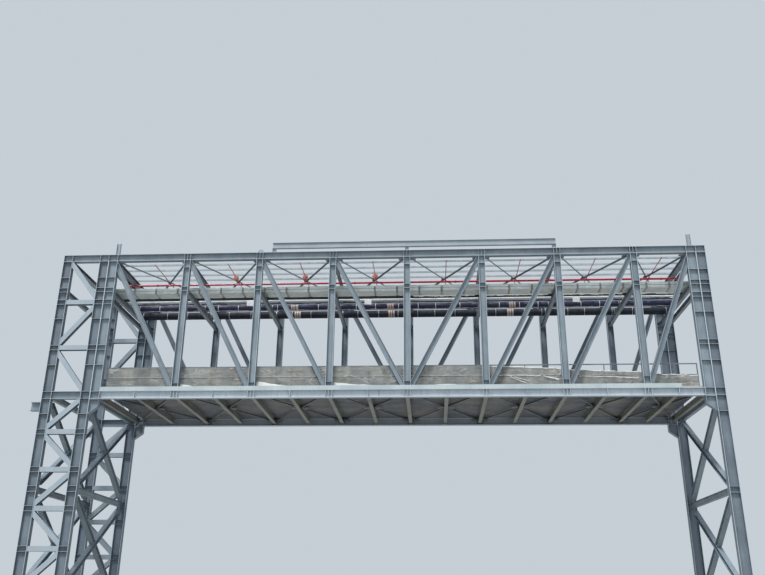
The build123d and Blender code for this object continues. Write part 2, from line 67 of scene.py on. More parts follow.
@dataclass(frozen=True)
class Layout:
    """Places along, across and up the bridge, in metres, as the solids have them."""

    outer_x: float = -16.89
    inner_x: float = -14.84
    left_post_x: float = -14.34
    first_vertical_x: float = -10.19
    panel: float = 4.0
    verticals: int = 7
    right_post_x: float = 16.81
    right_x: float = 17.31
    side_y: float = 3.45
    inside_y: float = 3.3
    bottom_z: float = 11.695
    top_z: float = 19.395
    chord_top: float = 11.89
    deck_top: float = 12.04
    pipe_base: float = 17.73
    roof_base: float = 19.2
    column_depth: float = 0.5
    column_flange: float = 0.02
    base_plate_top: float = 0.04

    @property
    def column_xs(self) -> Triple:
        """Places of the two column lines of the tower and of the right columns."""
        return (self.outer_x, self.inner_x, self.right_x)

    @property
    def vertical_xs(self) -> list[float]:
        """Places of the truss verticals."""
        return [self.first_vertical_x + i * self.panel for i in range(self.verticals)]

    @property
    def stations(self) -> list[float]:
        """Places of the panel points, end posts included."""
        return [self.left_post_x, *self.vertical_xs, self.right_post_x]

    @property
    def bays(self) -> list[Pair]:
        """Left and right end of every truss bay."""
        return list(zip(self.stations, self.stations[1:]))

    @property
    def bay_centres(self) -> list[float]:
        """Middle of every truss bay."""
        return [(left + right) / 2 for left, right in self.bays]

    @property
    def service_start(self) -> float:
        """Left end of the pipes, duct and purlins, at the end post's outer face."""
        return self.left_post_x - self.column_depth / 2

    @property
    def service_end(self) -> float:
        """Right end of the pipes, duct and purlins, at the end post's outer face."""
        return self.right_post_x + self.column_depth / 2

    @property
    def flange_lines(self) -> list[float]:
        """Find the column and end post flanges, over which the top chord has web plates.

        Returns:
            Their places along the bridge.
        """
        reach = (self.column_depth - self.column_flange) / 2
        inward = [self.left_post_x + reach, self.right_post_x - reach]
        return inward + [x + dx for x in self.column_xs for dx in (-reach, reach)]


LAYOUT = Layout()


# Modelling helpers


def clear_selection() -> None:
    """Deselect everything, so that an operator acts on nothing by accident."""
    for obj in bpy.context.selected_objects:
        obj.select_set(False)


def select_only(*objects: Piece) -> None:
    """Select some objects and make the first one active.

    Args:
        *objects: The objects that the next operator acts on.
    """
    clear_selection()
    for obj in objects:
        obj.select_set(True)
    bpy.context.view_layer.objects.active = objects[0]


@contextmanager
def editing(obj: Piece) -> Iterator[None]:
    """Hold a piece in edit mode, with all of it selected at first.

    Args:
        obj: The piece.

    Yields:
        Nothing, while the piece is in edit mode.
    """
    select_only(obj)
    bpy.ops.object.mode_set(mode="EDIT")
    bpy.ops.mesh.select_all(action="SELECT")
    yield
    bpy.ops.object.mode_set(mode="OBJECT")


def settle(obj: Piece, name: str) -> Piece:
    """Put an object's place, turn and scale into its mesh and name it.

    Args:
        obj: The object to settle at the origin.
        name: Its new name.

    Returns:
        The same object.
    """
    select_only(obj)
    bpy.ops.object.transform_apply(location=True, rotation=True, scale=True)
    obj.name = name
    obj.data.name = name
    return obj


def apply_modifier(obj: Piece, name: str) -> None:
    """Apply one modifier of a piece.

    Args:
        obj: The piece.
        name: The modifier's name.
    """
    select_only(obj)
    bpy.ops.object.modifier_apply(modifier=name)


def add_block(size: Triple, place: Triple = (0, 0, 0)) -> Piece:
    """Add a cube primitive scaled to a size.

    Args:
        size: Width, depth and height in metres.
        place: Its middle.

    Returns:
        The new object.
    """
    clear_selection()
    bpy.ops.mesh.primitive_cube_add(size=1.0, location=place, scale=size)
    block = bpy.context.active_object
    bpy.ops.object.transform_apply(location=False, rotation=False, scale=True)
    return block


def add_round(radius: float, depth: float, middle: float, sides: int) -> Piece:
    """Add an upright cylinder primitive over the origin.

    Args:
        radius: Its radius.
        depth: Its height.
        middle: Height of its middle.
        sides: Number of side faces.

    Returns:
        The new object.
    """
    clear_selection()
    bpy.ops.mesh.primitive_cylinder_add(vertices=sides, radius=radius, depth=depth, location=(0, 0, middle))
    return bpy.context.active_object


def bevel_edges(obj: Piece, width: float, segments: int = 1) -> None:
    """Bevel every edge of a piece in edit mode.

    Args:
        obj: The piece.
        width: Width of the bevel.
        segments: Number of its segments.
    """
    with editing(obj):
        bpy.ops.mesh.bevel(offset=width, segments=segments, affect="EDGES")


def shape_faces(obj: Piece, direction: Vector, inset: float, lift: float) -> None:
    """Inset the faces that look one way and push them out.

    Args:
        obj: The piece.
        direction: The way that the chosen faces look.
        inset: How far they are inset.
        lift: How far they are then extruded along the direction.
    """
    aligned = 0.99
    with editing(obj):
        bpy.ops.mesh.select_mode(type="FACE")
        bpy.ops.mesh.select_all(action="DESELECT")
        mesh = bmesh.from_edit_mesh(obj.data)
        for face in mesh.faces:
            face.select = face.normal.dot(direction) > aligned
        bmesh.update_edit_mesh(obj.data)
        bpy.ops.mesh.inset(thickness=inset, depth=0.0)
        bpy.ops.mesh.extrude_region_move(TRANSFORM_OT_translate={"value": tuple(direction * lift)})


def add_stub(radius: float, depth: float, middle: float, sides: int, cap: Triple) -> Piece:
    """Add an upright round whose top or foot is drawn in and pushed out.

    Args:
        radius: Its radius.
        depth: Its height.
        middle: Height of its middle.
        sides: Number of side faces.
        cap: How far the cap is inset, how far it is pushed out, and 1 at the top or -1 at the foot.

    Returns:
        The new object.
    """
    inset, lift, end = cap
    stub = add_round(radius, depth, middle, sides)
    shape_faces(stub, UP * end, inset, lift)
    return stub


def join(parts: list[Piece], name: str) -> Piece:
    """Join several objects into one piece at the origin.

    Args:
        parts: The objects to join.
        name: The piece's name.

    Returns:
        The piece.
    """
    select_only(*parts)
    if len(parts) > 1:
        bpy.ops.object.join()
    return settle(bpy.context.view_layer.objects.active, name)


def at(x: float, y: float, z: float, turn: Euler | None = None) -> Matrix:
    """Give the matrix of a place, with a turn if one is given.

    Args:
        x: Place along the bridge.
        y: Place across.
        z: Height.
        turn: Turn about the place.

    Returns:
        The placing matrix.
    """
    matrix = Matrix.Translation((x, y, z))
    return matrix @ turn.to_matrix().to_4x4() if turn else matrix


def stamp(master: Piece, places: list[Matrix], name: str) -> Piece:
    """Copy one modelled object to many places and join the copies.

    Args:
        master: The object, modelled once about the origin.
        places: One placing matrix for each copy.
        name: The joined piece's name.

    Returns:
        The joined piece.
    """
    settle(master, name + "_master")
    copies = []
    for place in places:
        twin = master.copy()
        twin.data = master.data.copy()
        twin.matrix_world = place
        bpy.context.scene.collection.objects.link(twin)
        copies.append(twin)
    bpy.data.objects.remove(master)
    bpy.context.view_layer.update()
    return join(copies, name)


def add_mesh(
    name: str, points: list[Triple], edges: list[tuple[int, int]], faces: list[tuple[int, ...]]
) -> Piece:
    """Make an object from points, edges and faces.

    Args:
        name: Its name.
        points: Its points.
        edges: Pairs of point numbers.
        faces: Point numbers of each face.

    Returns:
        The new object.
    """
    mesh = bpy.data.meshes.new(name)
    mesh.from_pydata(points, edges, faces)
    obj = bpy.data.objects.new(name, mesh)
    bpy.context.scene.collection.objects.link(obj)
    return obj


def spin_profile(points: list[Pair], y: float, z: float, steps: int, name: str) -> Piece:
    """Spin a profile about a line along the bridge and close its ends.

    Args:
        points: Pairs of place along the bridge and radius.
        y: The line's place across.
        z: The line's height.
        steps: Number of steps round.
        name: The piece's name.

    Returns:
        The turned piece.
    """
    merge_gap = 1e-5
    edges = [(i, i + 1) for i in range(len(points) - 1)]
    turned = add_mesh(name, [(x, y, z + r) for x, r in points], edges, [])
    with editing(turned):
        bpy.ops.mesh.spin(steps=steps, angle=2 * math.pi, center=(0, y, z), axis=(1, 0, 0))
        bpy.ops.mesh.select_all(action="SELECT")
        bpy.ops.mesh.remove_doubles(threshold=merge_gap)
        bpy.ops.mesh.select_all(action="SELECT")
        bpy.ops.mesh.normals_make_consistent(inside=False)
    return settle(turned, name)


def lay_grid(name: str, lines: list[list[Triple]], backwards: bool = False) -> Piece:
    """Make a sheet with no thickness from lines of points, with as many points in each.

    Args:
        name: The sheet's name.
        lines: The points, line by line.
        backwards: True where its faces have to look the other way.

    Returns:
        The sheet.
    """
    width = len(lines[0])
    faces = []
    for i in range(len(lines) - 1):
        for first in range(i * width, (i + 1) * width - 1):
            beside, beyond = first + 1, first + width
            round_it = (beside, beyond + 1, beyond) if backwards else (beyond, beyond + 1, beside)
            faces.append((first, *round_it))
    return add_mesh(name, [point for line in lines for point in line], [], faces)


def thicken(obj: Piece, thickness: float, offset: float = 0.0) -> None:
    """Give a sheet its thickness.

    Args:
        obj: The sheet.
        thickness: Its thickness.
        offset: 0 for both sides of it alike, or 1 for the side that its faces look to.
    """
    wall = obj.modifiers.new("thickness", "SOLIDIFY")
    wall.thickness = thickness
    wall.offset = offset
    apply_modifier(obj, "thickness")


# Finishes


def linear(code: str) -> tuple[float, float, float, float]:
    """Turn an sRGB hex colour into linear values.

    Args:
        code: Six hex digits after a hash.

    Returns:
        Red, green, blue and alpha.
    """
    knee, low_slope, offset, power = 0.04045, 12.92, 0.055, 2.4
    values = [int(code[i : i + 2], 16) / 255 for i in (1, 3, 5)]
    light = [v / low_slope if v <= knee else ((v + offset) / (1 + offset)) ** power for v in values]
    return (*light, 1.0)


def add_node(
    tree: Tree, kind: str, inputs: dict | None = None, output: str | int = 0, **settings: object
) -> Socket | None:
    """Add one shader node with its settings, link or set its inputs, and give one output.

    Args:
        tree: The material's node tree.
        kind: The node's type, after the words ShaderNode.
        inputs: A socket to link or a value to set, by input name or index.
        output: Name or index of the output to give.
        **settings: The node's own settings.

    Returns:
        The output, or nothing from a node that has none.
    """
    node = tree.nodes.new("ShaderNode" + kind)
    for key, value in settings.items():
        setattr(node, key, value)
    for key, value in (inputs or {}).items():
        socket = node.inputs[key]
        if isinstance(value, Socket):
            tree.links.new(value, socket)
        else:
            socket.default_value = value
    return node.outputs[output] if node.outputs else None


def tint(
    tree: Tree, under: Socket | tuple, over: str, value: Socket, limits: Pair, strengths: tuple
) -> Socket:
    """Lay one colour over another, as strongly as a value says.

    Args:
        tree: The material's node tree.
        under: The colour below, as a socket or as linear values.
        over: The colour on top, in hex.
        value: What the strength goes by.
        limits: Two amounts of that value.
        strengths: How strongly the top colour shows at each of them, as numbers or sockets.

    Returns:
        The mixed colour.
    """
    ends = {"From Min": limits[0], "From Max": limits[1], "To Min": strengths[0], "To Max": strengths[1]}
    amount = add_node(tree, "MapRange", {"Value": value, **ends})
    colours = {"Factor": amount, "A": under, "B": linear(over)}
    return add_node(tree, "Mix", colours, "Result", data_type="RGBA")


class Sheen(Enum):
    """Roughness of a finish, from how its surface was made."""

    GLOSS = 0.25
    SATIN = 0.42
    EGGSHELL = 0.55
    MATTE = 0.75


@dataclass(frozen=True)
class Finish:
    """A weathered finish: a base colour with patches, streaks, specks and a fine grain.

    The patches are about a metre across, as paint chalks unevenly from piece to piece, and
    the streaks run downwards, as rain carries dust off the ledges.
    """

    name: str
    base: str
    patch: str
    streak: str
    sheen: Sheen = Sheen.EGGSHELL
    metallic: float = 0.0
    patch_size: float = 1.1
    patch_strength: float = 0.6
    patch_limits: Pair = (0.38, 0.66)
    streak_width: float = 0.09
    streak_strength: float = 0.35
    streak_limits: Pair = (0.48, 0.72)
    streak_stretch: Triple = (1.0, 1.0, 0.12)
    dust_size: float = 0.25
    dust_spread: float = 0.1
    grain_size: float = 0.012
    grain_height: float = 0.0006
    alpha: float = 1.0

    def build(self) -> bpy.types.Material:
        """Make the material.

        Returns:
            The material, on Object coordinates.
        """
        material = bpy.data.materials.new(self.name)
        material.use_nodes = True
        tree = material.node_tree
        tree.nodes.clear()
        coords = add_node(tree, "TexCoord", output="Object")
        inputs = {
            "Base Color": self.colour(tree, coords),
            "Roughness": self.roughness(tree, coords),
            "Metallic": self.metallic,
            "Alpha": self.alpha,
            "Normal": self.relief(tree, coords),
        }
        add_node(tree, "OutputMaterial", {"Surface": add_node(tree, "BsdfPrincipled", inputs)})
        return material

    def colour(self, tree: Tree, coords: Socket) -> Socket:
        """Mix the base colour with patches and downward streaks.

        Args:
            tree: The material's node tree.
            coords: The Object coordinates.

        Returns:
            The colour.
        """
        patches = add_node(tree, "TexNoise", {"Vector": coords, "Scale": 1 / self.patch_size, "Detail": 5.0})
        patched = tint(
            tree, linear(self.base), self.patch, patches, self.patch_limits, (0.0, self.patch_strength)
        )
        stretched = add_node(tree, "Mapping", {"Vector": coords, "Scale": self.streak_stretch})
        streaks = add_node(
            tree, "TexNoise", {"Vector": stretched, "Scale": 1 / self.streak_width, "Detail": 3.0}
        )
        return tint(tree, patched, self.streak, streaks, self.streak_limits, (0.0, self.streak_strength))

    def roughness(self, tree: Tree, coords: Socket) -> Socket:
        """Vary the roughness about the sheen's own value, as dust dulls it in places.

        Args:
            tree: The material's node tree.
            coords: The Object coordinates.

        Returns:
            The roughness.
        """
        dust = add_node(tree, "TexNoise", {"Vector": coords, "Scale": 1 / self.dust_size, "Detail": 4.0})
        low, high = self.sheen.value - self.dust_spread, self.sheen.value + self.dust_spread
        ends = {"From Min": 0.3, "From Max": 0.7, "To Min": low, "To Max": high}
        return add_node(tree, "MapRange", {"Value": dust, **ends})

    def relief(self, tree: Tree, coords: Socket) -> Socket:
        """Give the surface its fine grain.

        Args:
            tree: The material's node tree.
            coords: The Object coordinates.

        Returns:
            The bumped normal.
        """
        grain = add_node(tree, "TexNoise", {"Vector": coords, "Scale": 1 / self.grain_size, "Detail": 2.0})
        return add_node(tree, "Bump", {"Height": grain, "Distance": self.grain_height, "Strength": 1.0})


@dataclass(frozen=True)
class TrussFinish(Finish):
    """Paint on the rolled sections that stand in the two truss planes.

    The edges of the flanges are drawn pale as a painted highlight. The sides of the webs that face the other
    truss are drawn darker as painted shade.
    """

    # Painted highlight: a paler colour on the flange edges, by distance from the truss plane
    rim_highlight: str = "#aab6be"
    rim_highlight_strength: float = 0.85
    rim_start: float = 0.105
    rim_end: float = 0.148
    # Painted shade: a darker colour on the sides of the webs that face the other truss
    inner_shade: str = "#566472"
    inner_shade_strength: float = 0.6
    web_half: float = 0.003

    def colour(self, tree: Tree, coords: Socket) -> Socket:
        """Darken the inner sides as painted shade and draw the flange edges pale as a painted highlight.

        Args:
            tree: The material's node tree.
            coords: The Object coordinates.

        Returns:
            The colour.
        """
        weathered = super().colour(tree, coords)
        y = add_node(tree, "SeparateXYZ", {"Vector": coords}, "Y")
        across = add_node(tree, "Math", {0: y}, operation="ABSOLUTE")
        beside = add_node(tree, "Math", {0: across, 1: LAYOUT.side_y}, operation="SUBTRACT")
        reach = add_node(tree, "Math", {0: beside}, operation="ABSOLUTE")
        web = (-self.web_half, self.web_half)
        # Painted shade on the inner sides, then a painted highlight on the flange edges
        shaded = tint(tree, weathered, self.inner_shade, beside, web, (self.inner_shade_strength, 0.0))
        return tint(tree, shaded, self.rim_highlight, reach, (self.rim_start, self.rim_end), (0.0, self.rim_highlight_strength))


@dataclass(frozen=True)
class WrinkledFinish(Finish):
    """A foil, plastic or rubber skin: crumples in the relief, and short pale creases, painted highlights
    along the folds with some stress whitening.

    The creases are straight folds between flat facets, as stiff film has them, and patches of
    the skin have none.
    """

    crumple_size: float = 0.16
    crumple_height: float = 0.02
    # Pale creases: painted highlights along the folds, with some stress whitening
    crease: str = "#b5b7b4"
    crease_strength: float = 0.0
    crease_size: float = 0.2
    crease_half: float = 0.05
    crease_stretch: float = 0.4
    crease_tilt: float = 0.15

    def colour(self, tree: Tree, coords: Socket) -> Socket:
        """Draw the pale creases over the stained skin, as painted highlights along the folds.

        Args:
            tree: The material's node tree.
            coords: The Object coordinates.

        Returns:
            The colour.
        """
        stained = super().colour(tree, coords)
        if not self.crease_strength:
            return stained
        turn, stretch = (0.0, self.crease_tilt, 0.0), (self.crease_stretch, 1.0, 1.0)
        placed = add_node(tree, "Mapping", {"Vector": coords, "Rotation": turn, "Scale": stretch})
        facets = add_node(
            tree, "TexVoronoi", {"Vector": placed, "Scale": 1 / self.crease_size}, feature="DISTANCE_TO_EDGE"
        )
        patches = 1.6 / self.crease_size
        handled = add_node(tree, "TexNoise", {"Vector": placed, "Scale": patches, "Detail": 2.0})
        ends = {"From Min": 0.46, "From Max": 0.62, "To Max": self.crease_strength}
        strength = add_node(tree, "MapRange", {"Value": handled, **ends})
        return tint(tree, stained, self.crease, facets, (0.0, self.crease_half), (strength, 0.0))

    def relief(self, tree: Tree, coords: Socket) -> Socket:
        """Add sharp crumples to the fine grain.

        Args:
            tree: The material's node tree.
            coords: The Object coordinates.

        Returns:
            The bumped normal.
        """
        fine = super().relief(tree, coords)
        noise = {"Vector": coords, "Scale": 1 / self.crumple_size, "Detail": 3.0, "Distortion": 1.2}
        folds = add_node(tree, "TexNoise", noise, noise_type="RIDGED_MULTIFRACTAL")
        bump = {"Height": folds, "Distance": self.crumple_height, "Normal": fine, "Strength": 0.6}
        return add_node(tree, "Bump", bump)


@dataclass(frozen=True)
class LinedFinish(WrinkledFinish):
    """A wrinkled skin with one level dark line and a paler line over it: on the sheeting the dark line is
    painted shade along the fold over the mid-rail, and the paler line is a painted highlight.
    """

    # The dark line: on the sheeting, painted shade where it folds over the mid-rail
    dark_line_height: float = 12.63
    dark_line_half: float = 0.022
    dark_line_colour: str = "#3f3f3c"
    dark_line_strength: float = 0.75
    dark_line_wander: float = 0.05
    # The paler line above it: a painted highlight
    lit_colour: str = "#a9aaa6"
    lit_strength: float = 0.55

    def colour(self, tree: Tree, coords: Socket) -> Socket:
        """Add the dark line to the stained skin, with a paler line over it as a painted highlight.

        Args:
            tree: The material's node tree.
            coords: The Object coordinates.

        Returns:
            The colour.
        """
        colour = super().colour(tree, coords)
        z = add_node(tree, "SeparateXYZ", {"Vector": coords}, "Z")
        wander = add_node(tree, "TexNoise", {"Vector": coords, "Scale": 1.3, "Detail": 2.0})
        bent = add_node(tree, "Math", {0: wander, 1: self.dark_line_wander, 2: z}, operation="MULTIPLY_ADD")
        middle, limits = self.dark_line_height + self.dark_line_wander / 2, (self.dark_line_half / 2, self.dark_line_half)
        # dark is the dark line, painted shade on the sheeting; lit is a painted highlight above it
        dark = (middle, self.dark_line_colour, self.dark_line_strength)
        lit = (middle + 2 * self.dark_line_half, self.lit_colour, self.lit_strength)
        for height, line, strength in (dark, lit):
            away = add_node(tree, "Math", {0: bent, 1: height}, operation="SUBTRACT")
            distance = add_node(tree, "Math", {0: away}, operation="ABSOLUTE")
            colour = tint(tree, colour, line, distance, limits, (strength, 0.0))
        return colour


# Micaceous iron oxide paint, sprayed: a flat blue-grey that chalks in pale patches
STEEL_PAINT = Finish("micaceous_paint_blue_grey", "#6d7a84", "#84919a", "#525e67")
# The same paint on the truss members, with a painted highlight along the flange edges and painted shade on
# the webs' inner sides
TRUSS_PAINT = TrussFinish("micaceous_paint_truss", "#6d7a84", "#84919a", "#525e67")
# The same paint on the bottom chords, drawn paler than on the other members as painted light bounced up from
# below
CHORD_PAINT = TrussFinish("micaceous_paint_painted_bounce_light", "#a4b0b9", "#b8c2c9", "#808c96", rim_highlight="#bfc9cf")
# The same paint on the tall columns, drawn darker as painted shade, as their webs lie in shadow between the
# flanges
COLUMN_PAINT = TrussFinish("micaceous_paint_columns_painted_shade", "#58636d", "#707d87", "#434d56", rim_highlight="#a6b2ba")
# The same paint on the deck's underside beams, with site dust
BEAM_PAINT = Finish("micaceous_paint_dusty", "#666a66", "#7b7c75", "#4c4f4c")
# The same paint on the deck's underside bracing, the darkest, as painted shade under the deck
SOFFIT_PAINT = Finish("micaceous_paint_painted_shade", "#42484c", "#555754", "#33383c")
# Hot-dip galvanised zinc: pale spangle with dull oxide bloom
ZINC = Finish(
    "hot_dip_zinc", "#8e999f", "#a9b3b7", "#6c767c", Sheen.SATIN,
    metallic=0.35, patch_size=0.35, grain_size=0.02,
)
# Galvanised tube, dark grey and nearly flat, darker than bare zinc as painted shade, so the top rail shows as
# a dark line
DULL_TUBE = Finish("zinc_tube_painted_shade", "#56616a", "#69747b", "#434c53", metallic=0.2, patch_size=0.5)
# Galvanised decking seen from below, dulled by dust and cement wash, and darkened further as painted shade
# under the deck
DECKING = Finish(
    "galvanised_decking_dust_and_painted_shade", "#565f68", "#7f7d77", "#40474e",
    metallic=0.25, patch_size=1.7, patch_strength=0.8,
)
# Pale alkyd paint on the kerb plates, smooth and clean
KERB_PAINT = Finish("alkyd_paint_pale", "#98a5a9", "#b4bebf", "#7f8c91", Sheen.SATIN, streak_strength=0.3)
# Zinc phosphate primer in a warm off-white on the members over the roof
PALE_PRIMER = Finish("primer_off_white", "#84909a", "#969fa5", "#6f7a82", Sheen.SATIN, streak_strength=0.25)
# Float-finished concrete, grey with cement bloom
CONCRETE = Finish(
    "floated_concrete", "#a3a09a", "#b7b4ac", "#8c8a85", Sheen.MATTE, grain_size=0.03, grain_height=0.002
)
# Red enamel on the sprinkler pipes, glossy and clean
RED_ENAMEL = Finish(
    "fire_red_enamel", "#a31b30", "#b62b3b", "#7f1826", Sheen.GLOSS, streak_strength=0.15, grain_height=0.0002
)
# Red lead primer on the hoods round the sprinkler heads, bleached to salmon
SALMON_PRIMER = Finish(
    "bleached_red_primer", "#d2806f", "#dc988a", "#b06455", Sheen.SATIN, grain_height=0.0003
)
# Zinc-flake coating on bolts and clamps, darker than the galvanised steel
BOLT_ZINC = Finish(
    "zinc_flake_bolts", "#7b8288", "#959ca1", "#5d6368", Sheen.SATIN, metallic=0.6, patch_size=0.1
)
# Elastomeric rubber insulation: near black, dulled with dust
BLACK_RUBBER = WrinkledFinish(
    "rubber_insulation_black", "#0d1524", "#1e2a3c", "#080d16", Sheen.MATTE,
    crumple_size=0.22, crumple_height=0.012,
)
# Navy vapour-barrier film on the next pipe, shinier than the rubber
NAVY_FILM = WrinkledFinish(
    "vapour_barrier_navy", "#0b1336", "#172250", "#080d22", crumple_size=0.2, crumple_height=0.015
)
# White coated-foil jacket on the small pipes
WHITE_JACKET = WrinkledFinish(
    "white_foil_jacket", "#d3d8da", "#e2e5e5", "#a9afb3", Sheen.SATIN, crumple_size=0.1, crumple_height=0.008
)
# Loose scraps of white foil, drawn near white as a painted highlight of sunlight shining through them
BACKLIT_FOIL = WrinkledFinish(
    "white_foil_painted_backlight", "#f0f2f2", "#fafafa", "#d5d8d8", Sheen.SATIN, crumple_size=0.1, crumple_height=0.008
)
# Dark slate film on the pipe beside the navy one, dull with dust
GREY_JACKET = WrinkledFinish(
    "slate_film_jacket", "#171c2e", "#2a3044", "#0f1322", Sheen.MATTE, crumple_size=0.1, crumple_height=0.008
)
# Grey-green scrim foil on the duct insulation, with a dark line along each side at one height and a paler
# painted highlight over it; its pale creases are partly painted highlights
DUCT_FOIL = LinedFinish(
    "scrim_foil_duct", "#b3bcbe", "#cfd2cd", "#79837f", Sheen.SATIN, metallic=0.15, patch_size=0.55,
    streak_width=0.05, streak_strength=0.5, streak_stretch=(0.1, 1.0, 1.0),
    crumple_size=0.22, crumple_height=0.03, crease="#d6dad5", crease_strength=0.7, crease_size=0.24,
    dark_line_height=17.835, dark_line_half=0.02, dark_line_colour="#4c5c57", dark_line_strength=0.8, dark_line_wander=0.02,
    lit_colour="#c9cdc6",
)
# Dull foil tape round the duct's joints
DUCT_TAPE = WrinkledFinish(
    "dull_foil_tape", "#8d9694", "#a3a9a5", "#6d7674", Sheen.SATIN, crumple_height=0.006
)
# Tan packing tape wound round the dark pipes
TAN_TAPE = WrinkledFinish(
    "tan_packing_tape", "#a2908a", "#b8a8a0", "#7d6c66", Sheen.SATIN, crumple_size=0.08, crumple_height=0.006
)
# Polythene sheeting, once clear, now grey with dust and half see-through, with painted shade along its fold
# over the mid-rail and a painted highlight over that; its pale creases are partly painted highlights
POLYTHENE = LinedFinish(
    "dusty_polythene_sheet", "#6f7473", "#92928b", "#5c5347", Sheen.SATIN,
    patch_size=0.75, patch_strength=0.75,
    streak_width=0.13, streak_strength=0.75, streak_stretch=(0.12, 1.0, 1.0),
    crumple_size=0.5, crumple_height=0.09, crease="#b4b5ae", crease_strength=0.55, crease_size=0.42,
    crease_half=0.045, crease_stretch=0.28, crease_tilt=0.3, lit_strength=0.7, alpha=0.74,
)
# The same polythene doubled over at a free top edge, milky where doubled and paler still as a painted
# highlight along the lit top edge
FOLDED_POLYTHENE = WrinkledFinish(
    "folded_polythene_hem_painted_highlight", "#c3c5c2", "#d2d3cf", "#9b9a94", Sheen.SATIN,
    crumple_size=0.12, crumple_height=0.01,
)
# White foam sheet, matte and torn
FOAM = WrinkledFinish(
    "polyethylene_foam_white", "#c0c1bd", "#d2d3cf", "#98968e", Sheen.MATTE, crumple_size=0.2
)

NODE_FINISHES = (
    (
        STEEL_PAINT,
        ("bearing_plates", "base_plates", "corbels", "outer_stub_beams", "cross_frame_beams", "rack_beams"),
    ),
    (STEEL_PAINT, ("cross_frame_braces_rising", "cross_frame_braces_falling", "cross_frame_gussets")),
    (STEEL_PAINT, ("roof_beams", "roof_braces_lower", "roof_braces_upper", "roof_gussets", "pipe_shoes")),
    (TRUSS_PAINT, ("top_chords", "truss_verticals", "truss_diagonals", "end_posts")),
    (TRUSS_PAINT, ("tower_beams", "tower_struts", "tower_braces")),
    (CHORD_PAINT, ("bottom_chords",)),
    (COLUMN_PAINT, ("tower_columns", "right_columns")),
    (BEAM_PAINT, ("deck_cross_beams",)),
    (SOFFIT_PAINT, ("deck_bracing", "deck_gussets")),
    (ZINC, ("roof_purlins", "sprinkler_hangers")),
    (DULL_TUBE, ("guard_rails",)),
    (BLACK_RUBBER, ("cable_trunking",)),
    (DECKING, ("deck_sheet",)),
    (CONCRETE, ("deck_slab",)),
    (KERB_PAINT, ("kerbs",)),
    (RED_ENAMEL, ("sprinkler_main", "sprinkler_branches")),
    (PALE_PRIMER, ("top_beam", "top_beam_posts", "stub_posts")),
)


class Slot(Enum):
    """Material slot names that the code passes along with new pieces."""

    STEEL = "structural_steel"
    ZINC = "galvanised_steel"
    CREAM = "cream_paint"
    RED = "red_paint"
    DARK_SKIN = "dark_cladding"
    LIGHT_SKIN = "light_cladding"
    WRAP = "duct_wrap"
    SHEETING = "sheeting"


class Palette:
    """Builds each finish once and hands out its material."""

    def __init__(self) -> None:
        """Start with no material built."""
        self.built: dict[str, bpy.types.Material] = {}

    def dress(self, obj: Piece, finish: Finish) -> None:
        """Give an object a finish's material, built on first use.

        Args:
            obj: The object.
            finish: The finish.
        """
        if finish.name not in self.built:
            self.built[finish.name] = finish.build()
        obj.data.materials.clear()
        obj.data.materials.append(self.built[finish.name])

    def dress_nodes(self) -> None:
        """Put the finishes on the solids that stay in view."""
        for finish, names in NODE_FINISHES:
            for name in names:
                self.dress(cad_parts[name], finish)
                LOG.info("%s: %s", name, finish.name)


PALETTE = Palette()


def finish_piece(obj: Piece, finish: Finish, slot: Slot, smooth: float = 0.0) -> None:
    """Give a new piece its shading, its material and its body.

    Args:
        obj: The piece.
        finish: Its finish.
        slot: Not used.
        smooth: Angle in degrees under which its edges are shaded smooth, or 0 to keep it flat.
    """
    if smooth:
        select_only(obj)
        bpy.ops.object.shade_smooth_by_angle(angle=math.radians(smooth))
    PALETTE.dress(obj, finish)
    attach(obj, "root")
    LOG.info("%s: %d faces", obj.name, len(obj.data.polygons))


def finish_copies(
    master: Piece, places: list[Matrix], name: str, finish: Finish, slot: Slot, smooth: float = 0.0
) -> None:
    """Copy one modelled object to many places and finish the copies as one piece.

    Args:
        master: The object, modelled once about the origin.
        places: One placing matrix for each copy.
        name: The piece's name.
        finish: Its finish.
        slot: Its slot, handed on to finish_piece.
        smooth: Angle in degrees under which its edges are shaded smooth, or 0 to keep it flat.
    """
    finish_piece(stamp(master, places, name), finish, slot, smooth)


# Steelwork details


